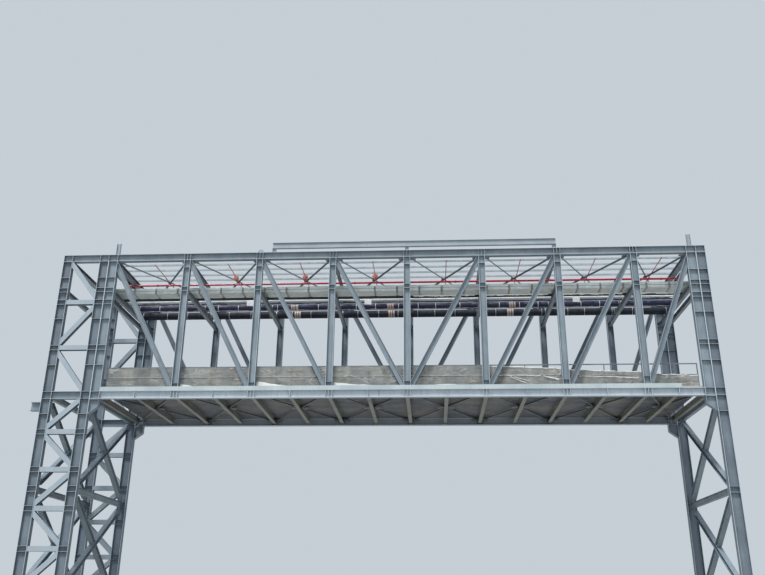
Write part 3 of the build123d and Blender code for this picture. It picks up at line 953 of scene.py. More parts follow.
@dataclass
class InnerStiffeners:
    """Web plates on the inner sides of the chords, posts and columns.

    A section is given by its depth and the thickness of its web and flanges.
    """

    thickness: float = 0.012
    snipe: float = 0.004
    flange_width: float = 0.3
    column: Triple = (0.5, 0.012, 0.02)
    vertical: Triple = (0.35, 0.012, 0.019)
    chord: Triple = (0.39, 0.01, 0.016)
    strut_half: float = 0.125
    strut_pitch: float = 1.9
    strut_rows: int = 5
    drop: float = 0.95
    head_drop: float = 0.42
    toe_rise: float = 0.18
    foot_zs: tuple[float, ...] = (12.28, 12.29, 12.3, 12.31, 12.33, 12.34, 12.48)

    def weld(self, section: Triple, spots: list[Triple], name: str, upright: bool = False) -> None:
        """Weld plates into members of both trusses.

        Args:
            section: The members' section.
            spots: Place, height and side of the web of each plate, -1 inside and 1 outside.
            name: The piece's name.
            upright: True for upright plates in a level member.
        """
        depth, web, flange = section
        reach, clear = (self.flange_width - web) / 2, depth - 2 * flange
        size = (self.thickness, reach, clear) if upright else (clear, reach, self.thickness)
        plate = add_block(size)
        bevel_edges(plate, self.snipe)
        offset = (web + reach) / 2
        places = [at(x, side * (LAYOUT.side_y + face * offset), z) for x, z, face in spots for side in SIDES]
        finish_copies(plate, places, name, STEEL_PAINT, Slot.STEEL)

    def build(self) -> None:
        """Build all the plates, those in the feet of the verticals on both sides of the web."""
        third = (LAYOUT.top_z - LAYOUT.bottom_z) / 3
        upper = [LAYOUT.bottom_z + third, LAYOUT.bottom_z + 2 * third]
        lower = [LAYOUT.bottom_z - (i + 1) * self.strut_pitch for i in range(self.strut_rows)]
        halves = (-self.strut_half, self.strut_half)
        upper_levels, lower_levels = ([z + dz for z in struts for dz in halves] for struts in (upper, lower))
        upper_levels += [z - self.drop for z in (*upper, LAYOUT.roof_base)]
        posts, tower = [LAYOUT.left_post_x, LAYOUT.right_post_x], [LAYOUT.outer_x, LAYOUT.inner_x]
        ends = [LAYOUT.roof_base - self.head_drop, LAYOUT.chord_top + self.toe_rise]
        flange_x = (self.vertical[0] - self.vertical[2]) / 2
        foot_xs = [x + dx for x in LAYOUT.vertical_xs for dx in (-flange_x, 0, flange_x)]
        for section, xs, zs, name, upright in (
            (self.column, posts, upper_levels, "post_inner_plates", False),
            (self.column, tower, upper_levels + lower_levels, "tower_inner_plates", False),
            (self.column, [LAYOUT.right_x], upper_levels, "right_inner_plates", False),
            (self.vertical, LAYOUT.vertical_xs, ends, "vertical_inner_plates", False),
            (self.chord, [*foot_xs, *LAYOUT.flange_lines], [LAYOUT.top_z], "top_chord_inner_plates", True),
            (self.chord, foot_xs, [LAYOUT.bottom_z], "bottom_chord_inner_plates", True),
        ):
            self.weld(section, [(x, z, -1) for x in xs for z in zs], name, upright)
        feet = [(x, z, face) for x, z in zip(LAYOUT.vertical_xs, self.foot_zs) for face in SIDES]
        self.weld(self.vertical, feet, "vertical_foot_plates")


@dataclass(frozen=True)
class Fastener:
    """A hexagon bolt with its washer, or an anchor stud with its nut."""

    across: float = 0.036
    head_height: float = 0.015
    washer_radius: float = 0.024
    washer_height: float = 0.004
    stud_radius: float = 0.0
    stud_height: float = 0.0

    def model(self) -> Piece:
        """Model one fastener standing on the XY plane.

        Returns:
            The fastener.
        """
        washer_sides, head_sides, stud_sides, draw = 16, 6, 12, 0.004
        thick, head_z = self.washer_height, self.washer_height + self.head_height / 2
        head_radius = self.across / math.sqrt(3)
        parts = [
            add_stub(self.washer_radius, thick, thick / 2, washer_sides, (FINE_EDGE, FINE_EDGE / 2, 1)),
            add_stub(head_radius, self.head_height, head_z, head_sides, (draw, FINE_EDGE, 1)),
        ]
        if self.stud_height:
            middle, cap = self.stud_height / 2, (FINE_EDGE, FINE_EDGE, 1)
            parts.append(add_stub(self.stud_radius, self.stud_height, middle, stud_sides, cap))
        return join(parts, "fastener")


@dataclass
class AnchorBolts:
    """Four anchor studs with nuts on each base plate."""

    pitch_x: float = 0.58
    pitch_y: float = 0.38
    stud: Fastener = Fastener(
        across=0.055, head_height=0.026, washer_radius=0.036, washer_height=0.006,
        stud_radius=0.018, stud_height=0.075,
    )

    def build(self) -> None:
        """Build the studs of all six plates."""
        places = [
            at(x + i * self.pitch_x / 2, side * LAYOUT.side_y + j * self.pitch_y / 2, LAYOUT.base_plate_top)
            for x in LAYOUT.column_xs
            for side in SIDES
            for i in SIDES
            for j in SIDES
        ]
        finish_copies(self.stud.model(), places, "anchor_bolts", BOLT_ZINC, Slot.STEEL)


@dataclass
class BaseStiffeners:
    """Triangular gusset ribs between the column flanges and the base plates."""

    reach: float = 0.09
    height: float = 0.22
    thickness: float = 0.016
    spacing: float = 0.18
    toe: float = 0.05
    tip: float = 0.02

    def build(self) -> None:
        """Build the ribs of all six columns."""
        rib = add_block((self.reach, self.thickness, self.height), (self.reach / 2, 0, self.height / 2))
        slope = (self.height - self.toe, 0, self.reach - self.tip)
        with editing(rib):
            corner = (self.reach, 0, self.toe)
            bpy.ops.mesh.bisect(plane_co=corner, plane_no=slope, use_fill=True, clear_outer=True)
        half, turns = LAYOUT.column_depth / 2, {1: None, -1: Euler((0, 0, math.pi))}
        ys = [side * LAYOUT.side_y + shift * self.spacing / 2 for side in SIDES for shift in SIDES]
        places = [
            at(x + way * half, y, LAYOUT.base_plate_top, turn)
            for x in LAYOUT.column_xs
            for y in ys
            for way, turn in turns.items()
        ]
        finish_copies(rib, places, "base_ribs", STEEL_PAINT, Slot.STEEL)


@dataclass
class GussetBolts:
    """Bolts through the ends of the deck and roof bracing."""

    deck_z: float = 11.743
    roof_z: float = 19.3
    plate_half: float = 0.005
    corner_gap: float = 0.4
    middle_gap: float = 0.25
    edge: float = 0.04
    pair_pitch: float = 0.07

    def ends(self, start: Vector, end: Vector, gaps: Pair) -> list[Vector]:
        """Give the two bolt places at each end of a brace.

        Args:
            start: Working point at the brace's start.
            end: Working point at its end.
            gaps: How far the brace stops short of them.

        Returns:
            Four points on the brace's line.
        """
        along = (end - start).normalized()
        first, last = start + along * (gaps[0] + self.edge), end - along * (gaps[1] + self.edge)
        return [first, first + along * self.pair_pitch, last, last - along * self.pair_pitch]

    def build(self) -> None:
        """Build the bolts of both layers."""
        deck, roof = [], []
        for (left, right), middle in zip(LAYOUT.bays, LAYOUT.bay_centres):
            for side in SIDES:
                y = side * LAYOUT.side_y
                for x in (left, right):
                    points = self.ends(
                        Vector((x, y, 0)), Vector((middle, 0, 0)), (self.corner_gap, self.middle_gap)
                    )
                    deck += [at(p.x, p.y, self.deck_z - self.plate_half, UPSIDE_DOWN) for p in points]
                points = self.ends(
                    Vector((left, y, 0)), Vector((right, -y, 0)), (self.corner_gap, self.corner_gap)
                )
                z, turn = self.roof_z + side * self.plate_half, None if side > 0 else UPSIDE_DOWN
                roof += [at(p.x, p.y, z, turn) for p in points]
        finish_copies(Fastener().model(), deck, "deck_brace_bolts", BOLT_ZINC, Slot.STEEL)
        finish_copies(Fastener().model(), roof, "roof_brace_bolts", BOLT_ZINC, Slot.STEEL)


@dataclass
class PurlinCleats:
    """Short angle cleats that hold each purlin on each roof beam."""

    count: int = 9
    pitch: float = 0.767
    beam_top: float = 19.4
    leg: float = 0.07
    width: float = 0.1
    thickness: float = 0.006
    purlin_half: float = 0.025
    bolt_share: float = 0.62
    bolt: Fastener = Fastener(across=0.024, head_height=0.01, washer_radius=0.016, washer_height=0.003)

    def build(self) -> None:
        """Build the cleats."""
        tall = add_block((self.width, self.thickness, self.leg), (0, self.thickness / 2, self.leg / 2))
        flat = add_block((self.width, self.leg, self.thickness), (0, self.leg / 2, self.thickness / 2))
        bevel_edges(tall, FINE_EDGE)
        bevel_edges(flat, FINE_EDGE)
        bolt = self.bolt.model()
        bolt.location = (0, self.leg * self.bolt_share, self.thickness)
        cleat = join([tall, flat, bolt], "cleat")
        ys = [(i - (self.count - 1) / 2) * self.pitch + self.purlin_half for i in range(self.count)]
        edge_limit = LAYOUT.inside_y - self.leg
        places = [at(x, y, self.beam_top) for x in LAYOUT.stations for y in ys if y < edge_limit]
        finish_copies(cleat, places, "purlin_cleats", ZINC, Slot.ZINC)


@dataclass
class LiftingLugs:
    """Round-topped plate lugs with an eye on the top chords, over one vertical of each truss."""

    crown_z: float = 19.59
    width: float = 0.34
    height: float = 0.1
    thickness: float = 0.025
    eye: float = 0.07
    cut_height: float = 0.04
    edge: float = 0.001
    sides: int = 24
    vertical: int = 1

    def build(self) -> None:
        """Build the two lugs."""
        lug = add_round(self.width / 2, self.thickness, 0, self.sides)
        base = add_block((self.width, self.height / 2, self.thickness), (0, -self.height / 4, 0))
        bevel_edges(base, self.edge)
        hole = add_round(self.eye, self.cut_height, 0, self.sides)
        lug = join([lug, base], "lug")
        cut = lug.modifiers.new("eye", "BOOLEAN")
        cut.operation = "DIFFERENCE"
        cut.object = hole
        cut.use_self = True
        apply_modifier(lug, "eye")
        bpy.data.objects.remove(hole)
        x, z = LAYOUT.vertical_xs[self.vertical], self.crown_z + self.height / 2
        places = [at(x, side * LAYOUT.side_y, z, Euler((math.pi / 2, 0, 0))) for side in SIDES]
        finish_copies(lug, places, "lifting_lugs", PALE_PRIMER, Slot.CREAM)


@dataclass
class WebJoints:
    """Narrow backing strips over the butt joints in the bottom chords' webs."""

    x: float = 0.37
    size: Triple = (0.04, 0.008, 0.35)
    edge: float = 0.003
    web_half: float = 0.005

    def build(self) -> None:
        """Build one strip on each truss, on the outer side of the web."""
        strip = add_block(self.size)
        bevel_edges(strip, self.edge, 2)
        reach = LAYOUT.side_y + self.web_half + self.size[1] / 2
        places = [at(self.x, side * reach, LAYOUT.bottom_z) for side in SIDES]
        finish_copies(strip, places, "web_joint_strips", STEEL_PAINT, Slot.STEEL)


@dataclass
class RailFeet:
    """Bolted foot plates under the guard rail posts."""

    size: Triple = (0.16, 0.12, 0.008)
    rail_y: float = 3.2
    start: float = -13.966
    end: float = 16.436
    post_half: float = 0.024
    bolt: Fastener = Fastener(across=0.019, head_height=0.008, washer_radius=0.012, washer_height=0.002)

    def build(self) -> None:
        """Build the plates as pairs of halves that close round each post."""
        width, depth, height = self.size
        half = add_block((width / 2 - self.post_half, depth, height), (0, 0, height / 2))
        bevel_edges(half, FINE_EDGE)
        bolt = self.bolt.model()
        bolt.location = (0, 0, height)
        foot = join([half, bolt], "foot")
        shift = (width / 2 + self.post_half) / 2
        inner = sorted([*LAYOUT.vertical_xs, *LAYOUT.bay_centres])
        places = [
            at(x + side * shift, rail * self.rail_y, LAYOUT.deck_top)
            for x in (self.start, *inner, self.end)
            for rail in SIDES
            for side in SIDES
        ]
        finish_copies(foot, places, "rail_feet", ZINC, Slot.ZINC)


# Services


@dataclass(frozen=True)
class Tube:
    """A round run along the bridge: its place across, underside, radius and steps round."""

    y: float
    base: float
    radius: float
    steps: int

    @property
    def z(self) -> float:
        """Height of its middle line."""
        return self.base + self.radius

    def add_bands(
        self, name: str, xs: list[float], width: float, rise: float, finish: Finish, slot: Slot
    ) -> None:
        """Build narrow bands or wide tape sleeves round it.

        Args:
            name: The piece's name.
            xs: Their places.
            width: Their width.
            rise: How far they stand out.
            finish: Their finish.
            slot: Their slot.
        """
        sunk, edge = 0.006, 0.001
        half, inner, crown = width / 2, self.radius - sunk, self.radius + rise
        ring = [(-half, inner), (-half, crown - edge), (2 * edge - half, crown), (half - 2 * edge, crown)]
        ring += [(half, crown - edge), (half, inner), (-half, inner)]
        band = spin_profile(ring, 0.0, 0.0, self.steps, name + "_one")
        finish_copies(band, [at(x, self.y, self.z) for x in xs], name, finish, slot, ROUND_ANGLE)


@dataclass(frozen=True)
class PipeRun(Tube):
    """One insulated pipe on the rack, whose skin comes in butted lengths."""

    name: str
    finish: Finish
    slot: Slot
    node: str
    length: float
    groove: float = 0.004
    wobble: float = 0.003

    def add_jacket(self, seed: int) -> None:
        """Build the insulated skin, with a groove at every joint, in place of the plain pipe.

        Args:
            seed: Seed of its uneven surface.
        """
        rng = random.Random(seed)
        start, end = LAYOUT.service_start, LAYOUT.service_end
        lap, cuff, rings = 0.01, 0.012, 4
        skin = self.radius - self.wobble
        points = [(start, 0.0), (start, skin - self.groove)]
        x = start + lap
        while x < end - self.length / 2:
            stop = min(x + self.length, end - lap)
            points.append((x, skin))
            for i in range(1, rings):
                points.append((x + (stop - x) * i / rings, skin + rng.uniform(-self.wobble, self.wobble)))
            points += [(stop - cuff, skin), (stop - cuff / 2, skin - self.groove)]
            x = stop
        points += [(end, skin - self.groove), (end, 0.0)]
        jacket = spin_profile(points, self.y, self.z, self.steps, f"{self.name}_jacket")
        finish_piece(jacket, self.finish, self.slot, ROUND_ANGLE)
        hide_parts(self.node)

    def add_seam(self, width: float, seed: int) -> None:
        """Build the pale, slightly uneven tape along the seam low on the near side.

        Args:
            width: Its width.
            seed: Seed of its unevenness.
        """
        rng = random.Random(seed)
        low, drift, narrowest, widest = math.radians(245), 0.12, 0.6, 1.5
        thickness, step, start_gap, end_gap = 0.002, 0.2, 0.04, 0.06
        start, end = LAYOUT.service_start + start_gap, LAYOUT.service_end - end_gap
        reach = self.radius + thickness
        lines = []
        for i in range(int((end - start) / step) + 1):
            middle = low + rng.uniform(-drift, drift)
            spread = width / self.radius / 2 * rng.uniform(narrowest, widest)
            x, turns = start + i * step, (middle - spread, middle, middle + spread)
            lines.append([(x, self.y + reach * math.cos(t), self.z + reach * math.sin(t)) for t in turns])
        tape = lay_grid(f"{self.name}_seam", lines)
        thicken(tape, thickness, 1.0)
        with editing(tape):
            bpy.ops.mesh.normals_make_consistent(inside=False)
        finish_piece(tape, WHITE_JACKET, Slot.LIGHT_SKIN, SHEET_ANGLE)


BASE = LAYOUT.pipe_base
BLACK = PipeRun(2.1, BASE, 0.22, 40, "black_pipe", BLACK_RUBBER, Slot.DARK_SKIN, "dark_pipes", 1.2)
NAVY = PipeRun(0.74, BASE, 0.19, 36, "navy_pipe", NAVY_FILM, Slot.DARK_SKIN, "dark_pipes", 1.0)
SMALL = PipeRun(-1.15, BASE, 0.045, 20, "small_dark_pipe", BLACK_RUBBER, Slot.DARK_SKIN, "dark_pipes", 2.0)
GREY = PipeRun(-0.31, BASE, 0.065, 24, "grey_pipe", GREY_JACKET, Slot.LIGHT_SKIN, "light_pipes", 1.5)
WHITE = PipeRun(-0.8, BASE, 0.055, 24, "white_pipe", WHITE_JACKET, Slot.LIGHT_SKIN, "light_pipes", 1.8)


@dataclass
class PipeRack:
    """All the pipes on the rack beams, with their clamps, ties, tape and tags."""

    tape_xs: tuple[float, ...] = (-4.92, 0.72, 7.75)
    tape_turns: tuple[float, ...] = (-0.13, 0.0, 0.14)
    tape_width: float = 0.1
    tape_rise: float = 0.004
    tie_rise: float = 0.003
    clamp_width: float = 0.05
    clamp_rise: float = 0.006
    end_gap: float = 0.5
    seed: int = 11
    tag_xs: tuple[float, ...] = (-7.19, -0.47, 11.14)
    tag_y: float = -0.864
    tag_z: float = 17.63
    tag_size: Triple = (0.4, 0.012, 0.3)
    tag_edge: float = 0.004
    tag_rim: float = 0.02
    tag_dish: float = 0.002
    tag_band: float = 0.02

    def build(self) -> None:
        """Build the pipes and what is fixed to them."""
        for seed, run in enumerate((BLACK, NAVY, SMALL, GREY, WHITE)):
            run.add_jacket(seed)
            clamp = (self.clamp_width, self.clamp_rise, BOLT_ZINC, Slot.ZINC)
            run.add_bands(f"{run.name}_clamps", LAYOUT.stations, *clamp)
        self.build_ties()
        NAVY.add_seam(width=0.028, seed=8)
        GREY.add_seam(width=0.045, seed=5)
        self.build_tags()

    def build_ties(self) -> None:
        """Build the ties and the tape sleeves of the two large pipes."""
        rng = random.Random(self.seed)
        start = LAYOUT.service_start + self.end_gap
        span = LAYOUT.service_end - self.end_gap - start
        sleeves = [x + dx for x in self.tape_xs for dx in self.tape_turns]
        for run, pitch, shift, width in ((NAVY, 1.17, 0.12, 0.03), (BLACK, 1.25, 0.3, 0.016)):
            ties = [start + i * pitch + rng.uniform(-shift, shift) for i in range(int(span / pitch))]
            run.add_bands(f"{run.name}_ties", ties, width, self.tie_rise, WHITE_JACKET, Slot.LIGHT_SKIN)
            tape = (self.tape_width, self.tape_rise, TAN_TAPE, Slot.WRAP)
            run.add_bands(f"{run.name}_tape", sleeves, *tape)

    def build_tags(self) -> None:
        """Build the blank tag boards that two bands hold against the white pipe."""
        board = add_block(self.tag_size)
        bevel_edges(board, self.tag_edge, 2)
        shape_faces(board, Vector((0, -1, 0)), self.tag_rim, -self.tag_dish)
        places = [at(x, self.tag_y, self.tag_z) for x in self.tag_xs]
        finish_copies(board, places, "pipe_tags", WHITE_JACKET, Slot.LIGHT_SKIN, ROUND_ANGLE)
        xs = [x + side * self.tag_size[0] / 3 for x in self.tag_xs for side in SIDES]
        WHITE.add_bands("tag_bands", xs, self.tag_band, self.tie_rise, BOLT_ZINC, Slot.ZINC)


@dataclass
class DuctWrap:
    """Quilted foil insulation round the duct, taped at every length."""

    y: float = -2.05
    width: float = 0.83
    height: float = 0.36
    base_z: float = 17.655
    length: float = 1.2
    gap: float = 0.012
    cuts: int = 7
    crumple: float = 0.012
    crumple_size: float = 0.16
    crumple_level: float = 0.9
    quilt_angle: float = 50.0
    tape_width: float = 0.036
    tape_edge: float = 0.012
    tape_sunk: Pair = (0.011, 0.01)

    def build(self) -> None:
        """Build the wrap in place of the plain duct, and the tape round its joints."""
        segment = add_block((self.length - self.gap, self.width, self.height))
        with editing(segment):
            bpy.ops.mesh.subdivide(number_cuts=self.cuts)
            bpy.ops.mesh.vertices_smooth(factor=0.5, repeat=2)
        start, end, z = LAYOUT.service_start, LAYOUT.service_end, self.base_z + self.height / 2
        count = round((end - start) / self.length)
        pitch = (end - start) / count
        xs = [start + (i + 0.5) * pitch for i in range(count)]
        wrap = stamp(segment, [at(x, self.y, z) for x in xs], "duct_wrap")
        ruffle = wrap.modifiers.new("crumples", "DISPLACE")
        ruffle.texture = bpy.data.textures.new("duct_crumples", "CLOUDS")
        ruffle.texture.noise_scale = self.crumple_size
        ruffle.strength = self.crumple
        ruffle.mid_level = self.crumple_level
        apply_modifier(wrap, "crumples")
        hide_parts("duct")
        # The duct foil finish draws a painted highlight line and pale creases that are partly painted
        # highlights
        finish_piece(wrap, DUCT_FOIL, Slot.WRAP, self.quilt_angle)
        sunk_y, sunk_z = self.tape_sunk
        tape = add_block((self.tape_width, self.width - 2 * sunk_y, self.height - 2 * sunk_z))
        bevel_edges(tape, self.tape_edge, 2)
        places = [at(x + pitch / 2, self.y, z) for x in xs[:-1]]
        finish_copies(tape, places, "duct_ties", DUCT_TAPE, Slot.WRAP, ROUND_ANGLE)


@dataclass
class SprinklerFittings:
    """Grooved couplings, tees, heads and hoods on the sprinkler pipes."""

    main: Tube = Tube(y=-0.2, base=19.003, radius=0.057, steps=24)
    coupling_start: float = -12.9
    coupling_pitch: float = 5.8
    couplings: int = 6
    branch_z: float = 19.158
    branch_radius: float = 0.021
    branch_shift: float = 0.12
    ring_width: float = 0.025
    ring_rise: float = 0.004
    saddle: Triple = (0.09, 0.09, 0.05)
    saddle_edge: float = 0.014
    saddle_sunk: float = 0.012
    head_sunk: float = 0.004
    head_ys: tuple[float, ...] = (-2.7, -1.05, 1.0, 2.4)
    hood_radius: float = 0.13
    hood_height: float = 0.2
    hood_drop: float = 0.05
    hood_rim: float = 0.012
    hood_angle: float = 30.0
    hood_bays: tuple[int, ...] = (1, 2, 3)

    @property
    def branch_xs(self) -> list[float]:
        """Places of the branches."""
        return [x + self.branch_shift for x in LAYOUT.bay_centres]

    def build(self) -> None:
        """Build couplings, tees, heads, hoods and hanger rings."""
        self.build_couplings()
        self.build_tees()
        self.build_heads()
        self.build_hoods()
        ring = (self.ring_width, self.ring_rise, ZINC, Slot.ZINC)
        self.main.add_bands("hanger_rings", LAYOUT.stations, *ring)

    def build_couplings(self) -> None:
        """Build the couplings of the main, each two ridges with a dip between them."""
        r = self.main.radius
        outline = ((0.04, -0.004), (0.04, 0.014), (0.022, 0.02), (0.01, 0.02))
        profile = [(-x, r + rise) for x, rise in outline] + [(0.0, r + 0.015)]
        profile += [(x, r + rise) for x, rise in reversed(outline)]
        ring = spin_profile([*profile, profile[0]], 0.0, 0.0, self.main.steps, "coupling")
        xs = [self.coupling_start + i * self.coupling_pitch for i in range(self.couplings)]
        places = [at(x, self.main.y, self.main.z) for x in xs]
        finish_copies(ring, places, "sprinkler_couplings", RED_ENAMEL, Slot.RED, ROUND_ANGLE)

    def build_tees(self) -> None:
        """Build a tee saddle and its riser under every branch."""
        saddle = add_block(self.saddle, (0, 0, 0.02))
        bevel_edges(saddle, self.saddle_edge, 2)
        riser = add_stub(radius=0.019, depth=0.07, middle=0.06, sides=16, cap=(0.002, 0.002, 1))
        tee = join([saddle, riser], "tee")
        z = self.main.z + self.main.radius - self.saddle_sunk
        places = [at(x, self.main.y, z) for x in self.branch_xs]
        finish_copies(tee, places, "sprinkler_tees", RED_ENAMEL, Slot.RED, ROUND_ANGLE)

    def build_heads(self) -> None:
        """Build the pendent heads under the branches: a body, a deflector plate and a stem."""
        body = add_stub(radius=0.014, depth=0.03, middle=-0.015, sides=12, cap=(0.003, 0.012, -1))
        plate = add_stub(radius=0.022, depth=0.003, middle=-0.05, sides=16, cap=(0.006, 0.002, -1))
        stem = add_stub(radius=0.004, depth=0.04, middle=-0.03, sides=8, cap=(0.001, 0.001, -1))
        z = self.branch_z - self.branch_radius + self.head_sunk
        places = [at(x, y, z) for x in self.branch_xs for y in self.head_ys]
        head = join([body, plate, stem], "head")
        finish_copies(head, places, "sprinkler_heads", RED_ENAMEL, Slot.RED, ROUND_ANGLE)

    def build_hoods(self) -> None:
        """Build the bell-shaped hoods round the heads next to the main."""
        skirt, hollow, sides = self.hood_height * 0.45, self.hood_height * 0.35, 28
        crown = self.hood_height - skirt
        hood = add_round(self.hood_radius, skirt, -skirt / 2, sides)
        bell_steps = ((0.012, 0.006), (0.03, crown * 0.6), (0.035, crown * 0.3))
        for inset, lift in bell_steps:
            shape_faces(hood, UP, inset, lift)
        shape_faces(hood, -UP, self.hood_rim, -hollow)
        z = self.branch_z - self.branch_radius - self.hood_drop
        places = [at(self.branch_xs[bay], self.head_ys[1], z) for bay in self.hood_bays]
        finish_copies(hood, places, "sprinkler_hoods", SALMON_PRIMER, Slot.RED, self.hood_angle)


# Sheeting


@dataclass
class TornFilm:
    """Scraps of white foil film that hang in a ragged line under the duct's rear edge."""

    y: float = -1.76
    top_z: float = 17.664
    drop: float = 0.1
    beam_reach: float = 0.3
    step: float = 0.06
    rows: int = 3
    first_tear: float = 0.6
    shortest: float = 0.62
    tear_step: float = 0.28
    bow: float = 0.012
    wave: float = 0.01
    wave_turn: float = 0.9
    crumple: float = 0.002
    thickness: float = 0.0015
    first_bay: int = 4
    seed: int = 31

    def build(self) -> None:
        """Build one length of film in each of the bays to the right of the middle."""
        for number, (left, right) in enumerate(LAYOUT.bays[self.first_bay :]):
            self.hang(f"torn_film_{number + 1}", left + self.beam_reach, right - self.beam_reach)

    def hang(self, name: str, left: float, right: float) -> None:
        """Hang one ragged length from the duct's wrap, clear of the rack beams.

        Args:
            name: The film's name.
            left: Its left end.
            right: Its right end.
        """
        rng = random.Random(self.seed + int(left))
        count = int((right - left) / self.step)
        lines, tear = [], self.first_tear
        for i in range(count + 1):
            x, line = left + i * self.step, []
            tear = min(max(tear + rng.uniform(-self.tear_step, self.tear_step), self.shortest), 1.0)
            for j in range(self.rows):
                down = j / (self.rows - 1)
                ripple = self.bow + self.wave * math.sin(i * self.wave_turn + j)
                ripple += rng.uniform(-self.crumple, self.crumple)
                line.append((x, self.y + ripple * down, self.top_z - self.drop * tear * down))
            lines.append(line)
        film = lay_grid(name, lines)
        thicken(film, self.thickness)
        # The near-white foil finish is a painted highlight of sunlight through the film
        finish_piece(film, BACKLIT_FOIL, Slot.LIGHT_SKIN, SHEET_ANGLE)


# How far the top edge of a sheet has slipped below the rail, at its left and its right end
HOOKED = (0.0, 0.0)
NEAR_DROPS = (HOOKED, HOOKED, HOOKED, HOOKED, HOOKED, (0.02, 0.17), (0.24, 0.38), (0.46, 0.58))


@dataclass
class SheetingRun:
    """Polythene sheets hung bay by bay on the outside of a guard rail."""

    side: int
    node: str
    rail_face: float = 3.2255
    outer_limit: float = 3.292
    top_z: float = 13.192
    bottom_z: float = 12.07
    post_gap: float = 0.36
    clear: float = 0.06
    slack: float = 0.025
    cell: float = 0.055
    stand_off: float = 0.012
    gather_depth: float = 0.02
    waves: int = 4
    tie_cells: tuple[int, int] = (5, 11)
    thickness: float = 0.002
    frames: int = 26
    hem: float = 0.03
    hem_reach: float = 0.0025
    drops: tuple[Pair, ...] = (HOOKED,) * 8

    def build(self) -> None:
        start, end = LAYOUT.left_post_x + self.post_gap, LAYOUT.right_post_x - self.post_gap
        edges = [start, *LAYOUT.vertical_xs, end]
        for i, (left, right) in enumerate(zip(edges, edges[1:])):
            ends = (left + self.clear / 2, right - self.clear / 2)
            sheet = self.hang(f"{self.node}_{i + 1}", ends, self.drops[i], seed=self.side * 100 + i)
            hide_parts(self.node)
            # The polythene finish paints shade along the mid-rail fold and a highlight above it
            finish_piece(sheet, POLYTHENE, Slot.SHEETING, SHEET_ANGLE)

    def gather(self, ends: Pair, drop: Pair, seed: int) -> list[list[Triple]]:
        """Lay out a gathered sheet before it is dropped.

        Args:
            ends: Its left and right edge.
            drop: How far its top hangs below the rail at the left and the right.
            seed: Seed of its uneven gathers.

        Returns:
            The rows of its points, from the top down.
        """
        rng = random.Random(seed)
        left, width, height = ends[0], ends[1] - ends[0], self.top_z - self.bottom_z
        columns, rows = int(width / self.cell), int(height / self.cell)
        counts, phases, leans, shear = (2.2, 7.0), (0, 6.28), (-0.8, 0.8), 3
        waves = [[rng.uniform(*span) for span in (counts, phases, leans)] for _ in range(self.waves)]
        lines = []
        for j in range(rows + 1):
            v, line = j / rows, []
            for i in range(columns + 1):
                u = i / columns
                sines = [math.sin(k * u * 2 * math.pi + p + s * v * shear) for k, p, s in waves]
                y = self.rail_face + self.stand_off + self.gather_depth * (1 + sum(sines) / self.waves)
                lowered = drop[0] + (drop[1] - drop[0]) * u
                line.append((left + u * width, self.side * y, self.top_z - lowered - v * (height - lowered)))
            lines.append(line)
        return lines

    def hang(self, name: str, ends: Pair, drop: Pair, seed: int) -> Piece:
        """Args:
            name: The sheet's name.
            ends: Its left and right edge.
            drop: How far its top hangs below the rail at the left and the right.
            seed: Seed of its ties and gathers.

        Returns:
            The settled sheet.
        """
        rng = random.Random(seed + 7)
        lines = self.gather(ends, drop, seed)
        sheet = lay_grid(name, lines, backwards=True)
        columns, rows = len(lines[0]) - 1, len(lines) - 1
        ties, column = [], 0
        while column < columns:
            ties.append(column)
            column += rng.randint(*self.tie_cells)
        ties.append(columns)
        foot_ties = [rows * (columns + 1) + c for c in ties[::3]]
        self.settle_cloth(sheet, [*ties, *foot_ties])
        self.cap(sheet)
        hems = [self.fold_hem(sheet, columns)] if any(drop) else []
        thicken(sheet, self.thickness)
        flat = (ends[1] - ends[0], self.top_z - self.bottom_z - min(drop))
        return sheet

    def fold_hem(self, sheet: Piece, columns: int) -> Piece:
        """Fold a narrow hem over the free top edge of a sheet.

        Args:
            sheet: The settled sheet, before it has its thickness.
            columns: Its number of columns.

        Returns:
            The hem.
        """
        out = self.hem_reach
        section = ((-out, -self.hem), (-out, 0.0), (0.0, out), (out, 0.0), (out, -self.hem))
        crest = [vertex.co.copy() for vertex in sheet.data.vertices[: columns + 1]]
        lines = [[(p.x, p.y + dy, p.z + dz) for dy, dz in section] for p in crest]
        hem = lay_grid(f"{sheet.name}_hem", lines)
        thicken(hem, self.thickness)
        # The hem's pale finish is partly a painted highlight along the lit top edge
        finish_piece(hem, FOLDED_POLYTHENE, Slot.SHEETING, SHEET_ANGLE)
        return hem

    def settle_cloth(self, sheet: Piece, pins: list[int]) -> None:
        """Run the cloth and keep its last shape.

        Args:
            sheet: The sheet.
            pins: The vertices that the ties hold.
        """
        sheet.vertex_groups.new(name="ties").add(pins, 1.0, "REPLACE")
        cloth = sheet.modifiers.new("cloth", "CLOTH")
        cloth.settings.vertex_group_mass = "ties"
        cloth.settings.quality = 6
        cloth.settings.mass = 0.2
        cloth.settings.shrink_min = -self.slack
        cloth.settings.bending_stiffness = 0.6
        cloth.settings.air_damping = 3.0
        cloth.point_cache.frame_start = 1
        cloth.point_cache.frame_end = self.frames
        for number in range(1, self.frames + 1):
            bpy.context.scene.frame_set(number)
        apply_modifier(sheet, "cloth")
        bpy.context.scene.frame_set(1)

    def cap(self, sheet: Piece) -> None:
        """Keep the sheet between the rail and the truss and off the slab.

        Args:
            sheet: The sheet.
        """
        margin, rise = 0.002, 0.012
        middle = (self.rail_face + self.outer_limit) / 2
        half = (self.outer_limit - self.rail_face) / 2 - margin
        for vertex in sheet.data.vertices:
            out = half * math.tanh((abs(vertex.co.y) - middle) / half)
            vertex.co.y = self.side * (middle + out)
            vertex.co.z = min(max(vertex.co.z, LAYOUT.deck_top + rise), self.top_z)


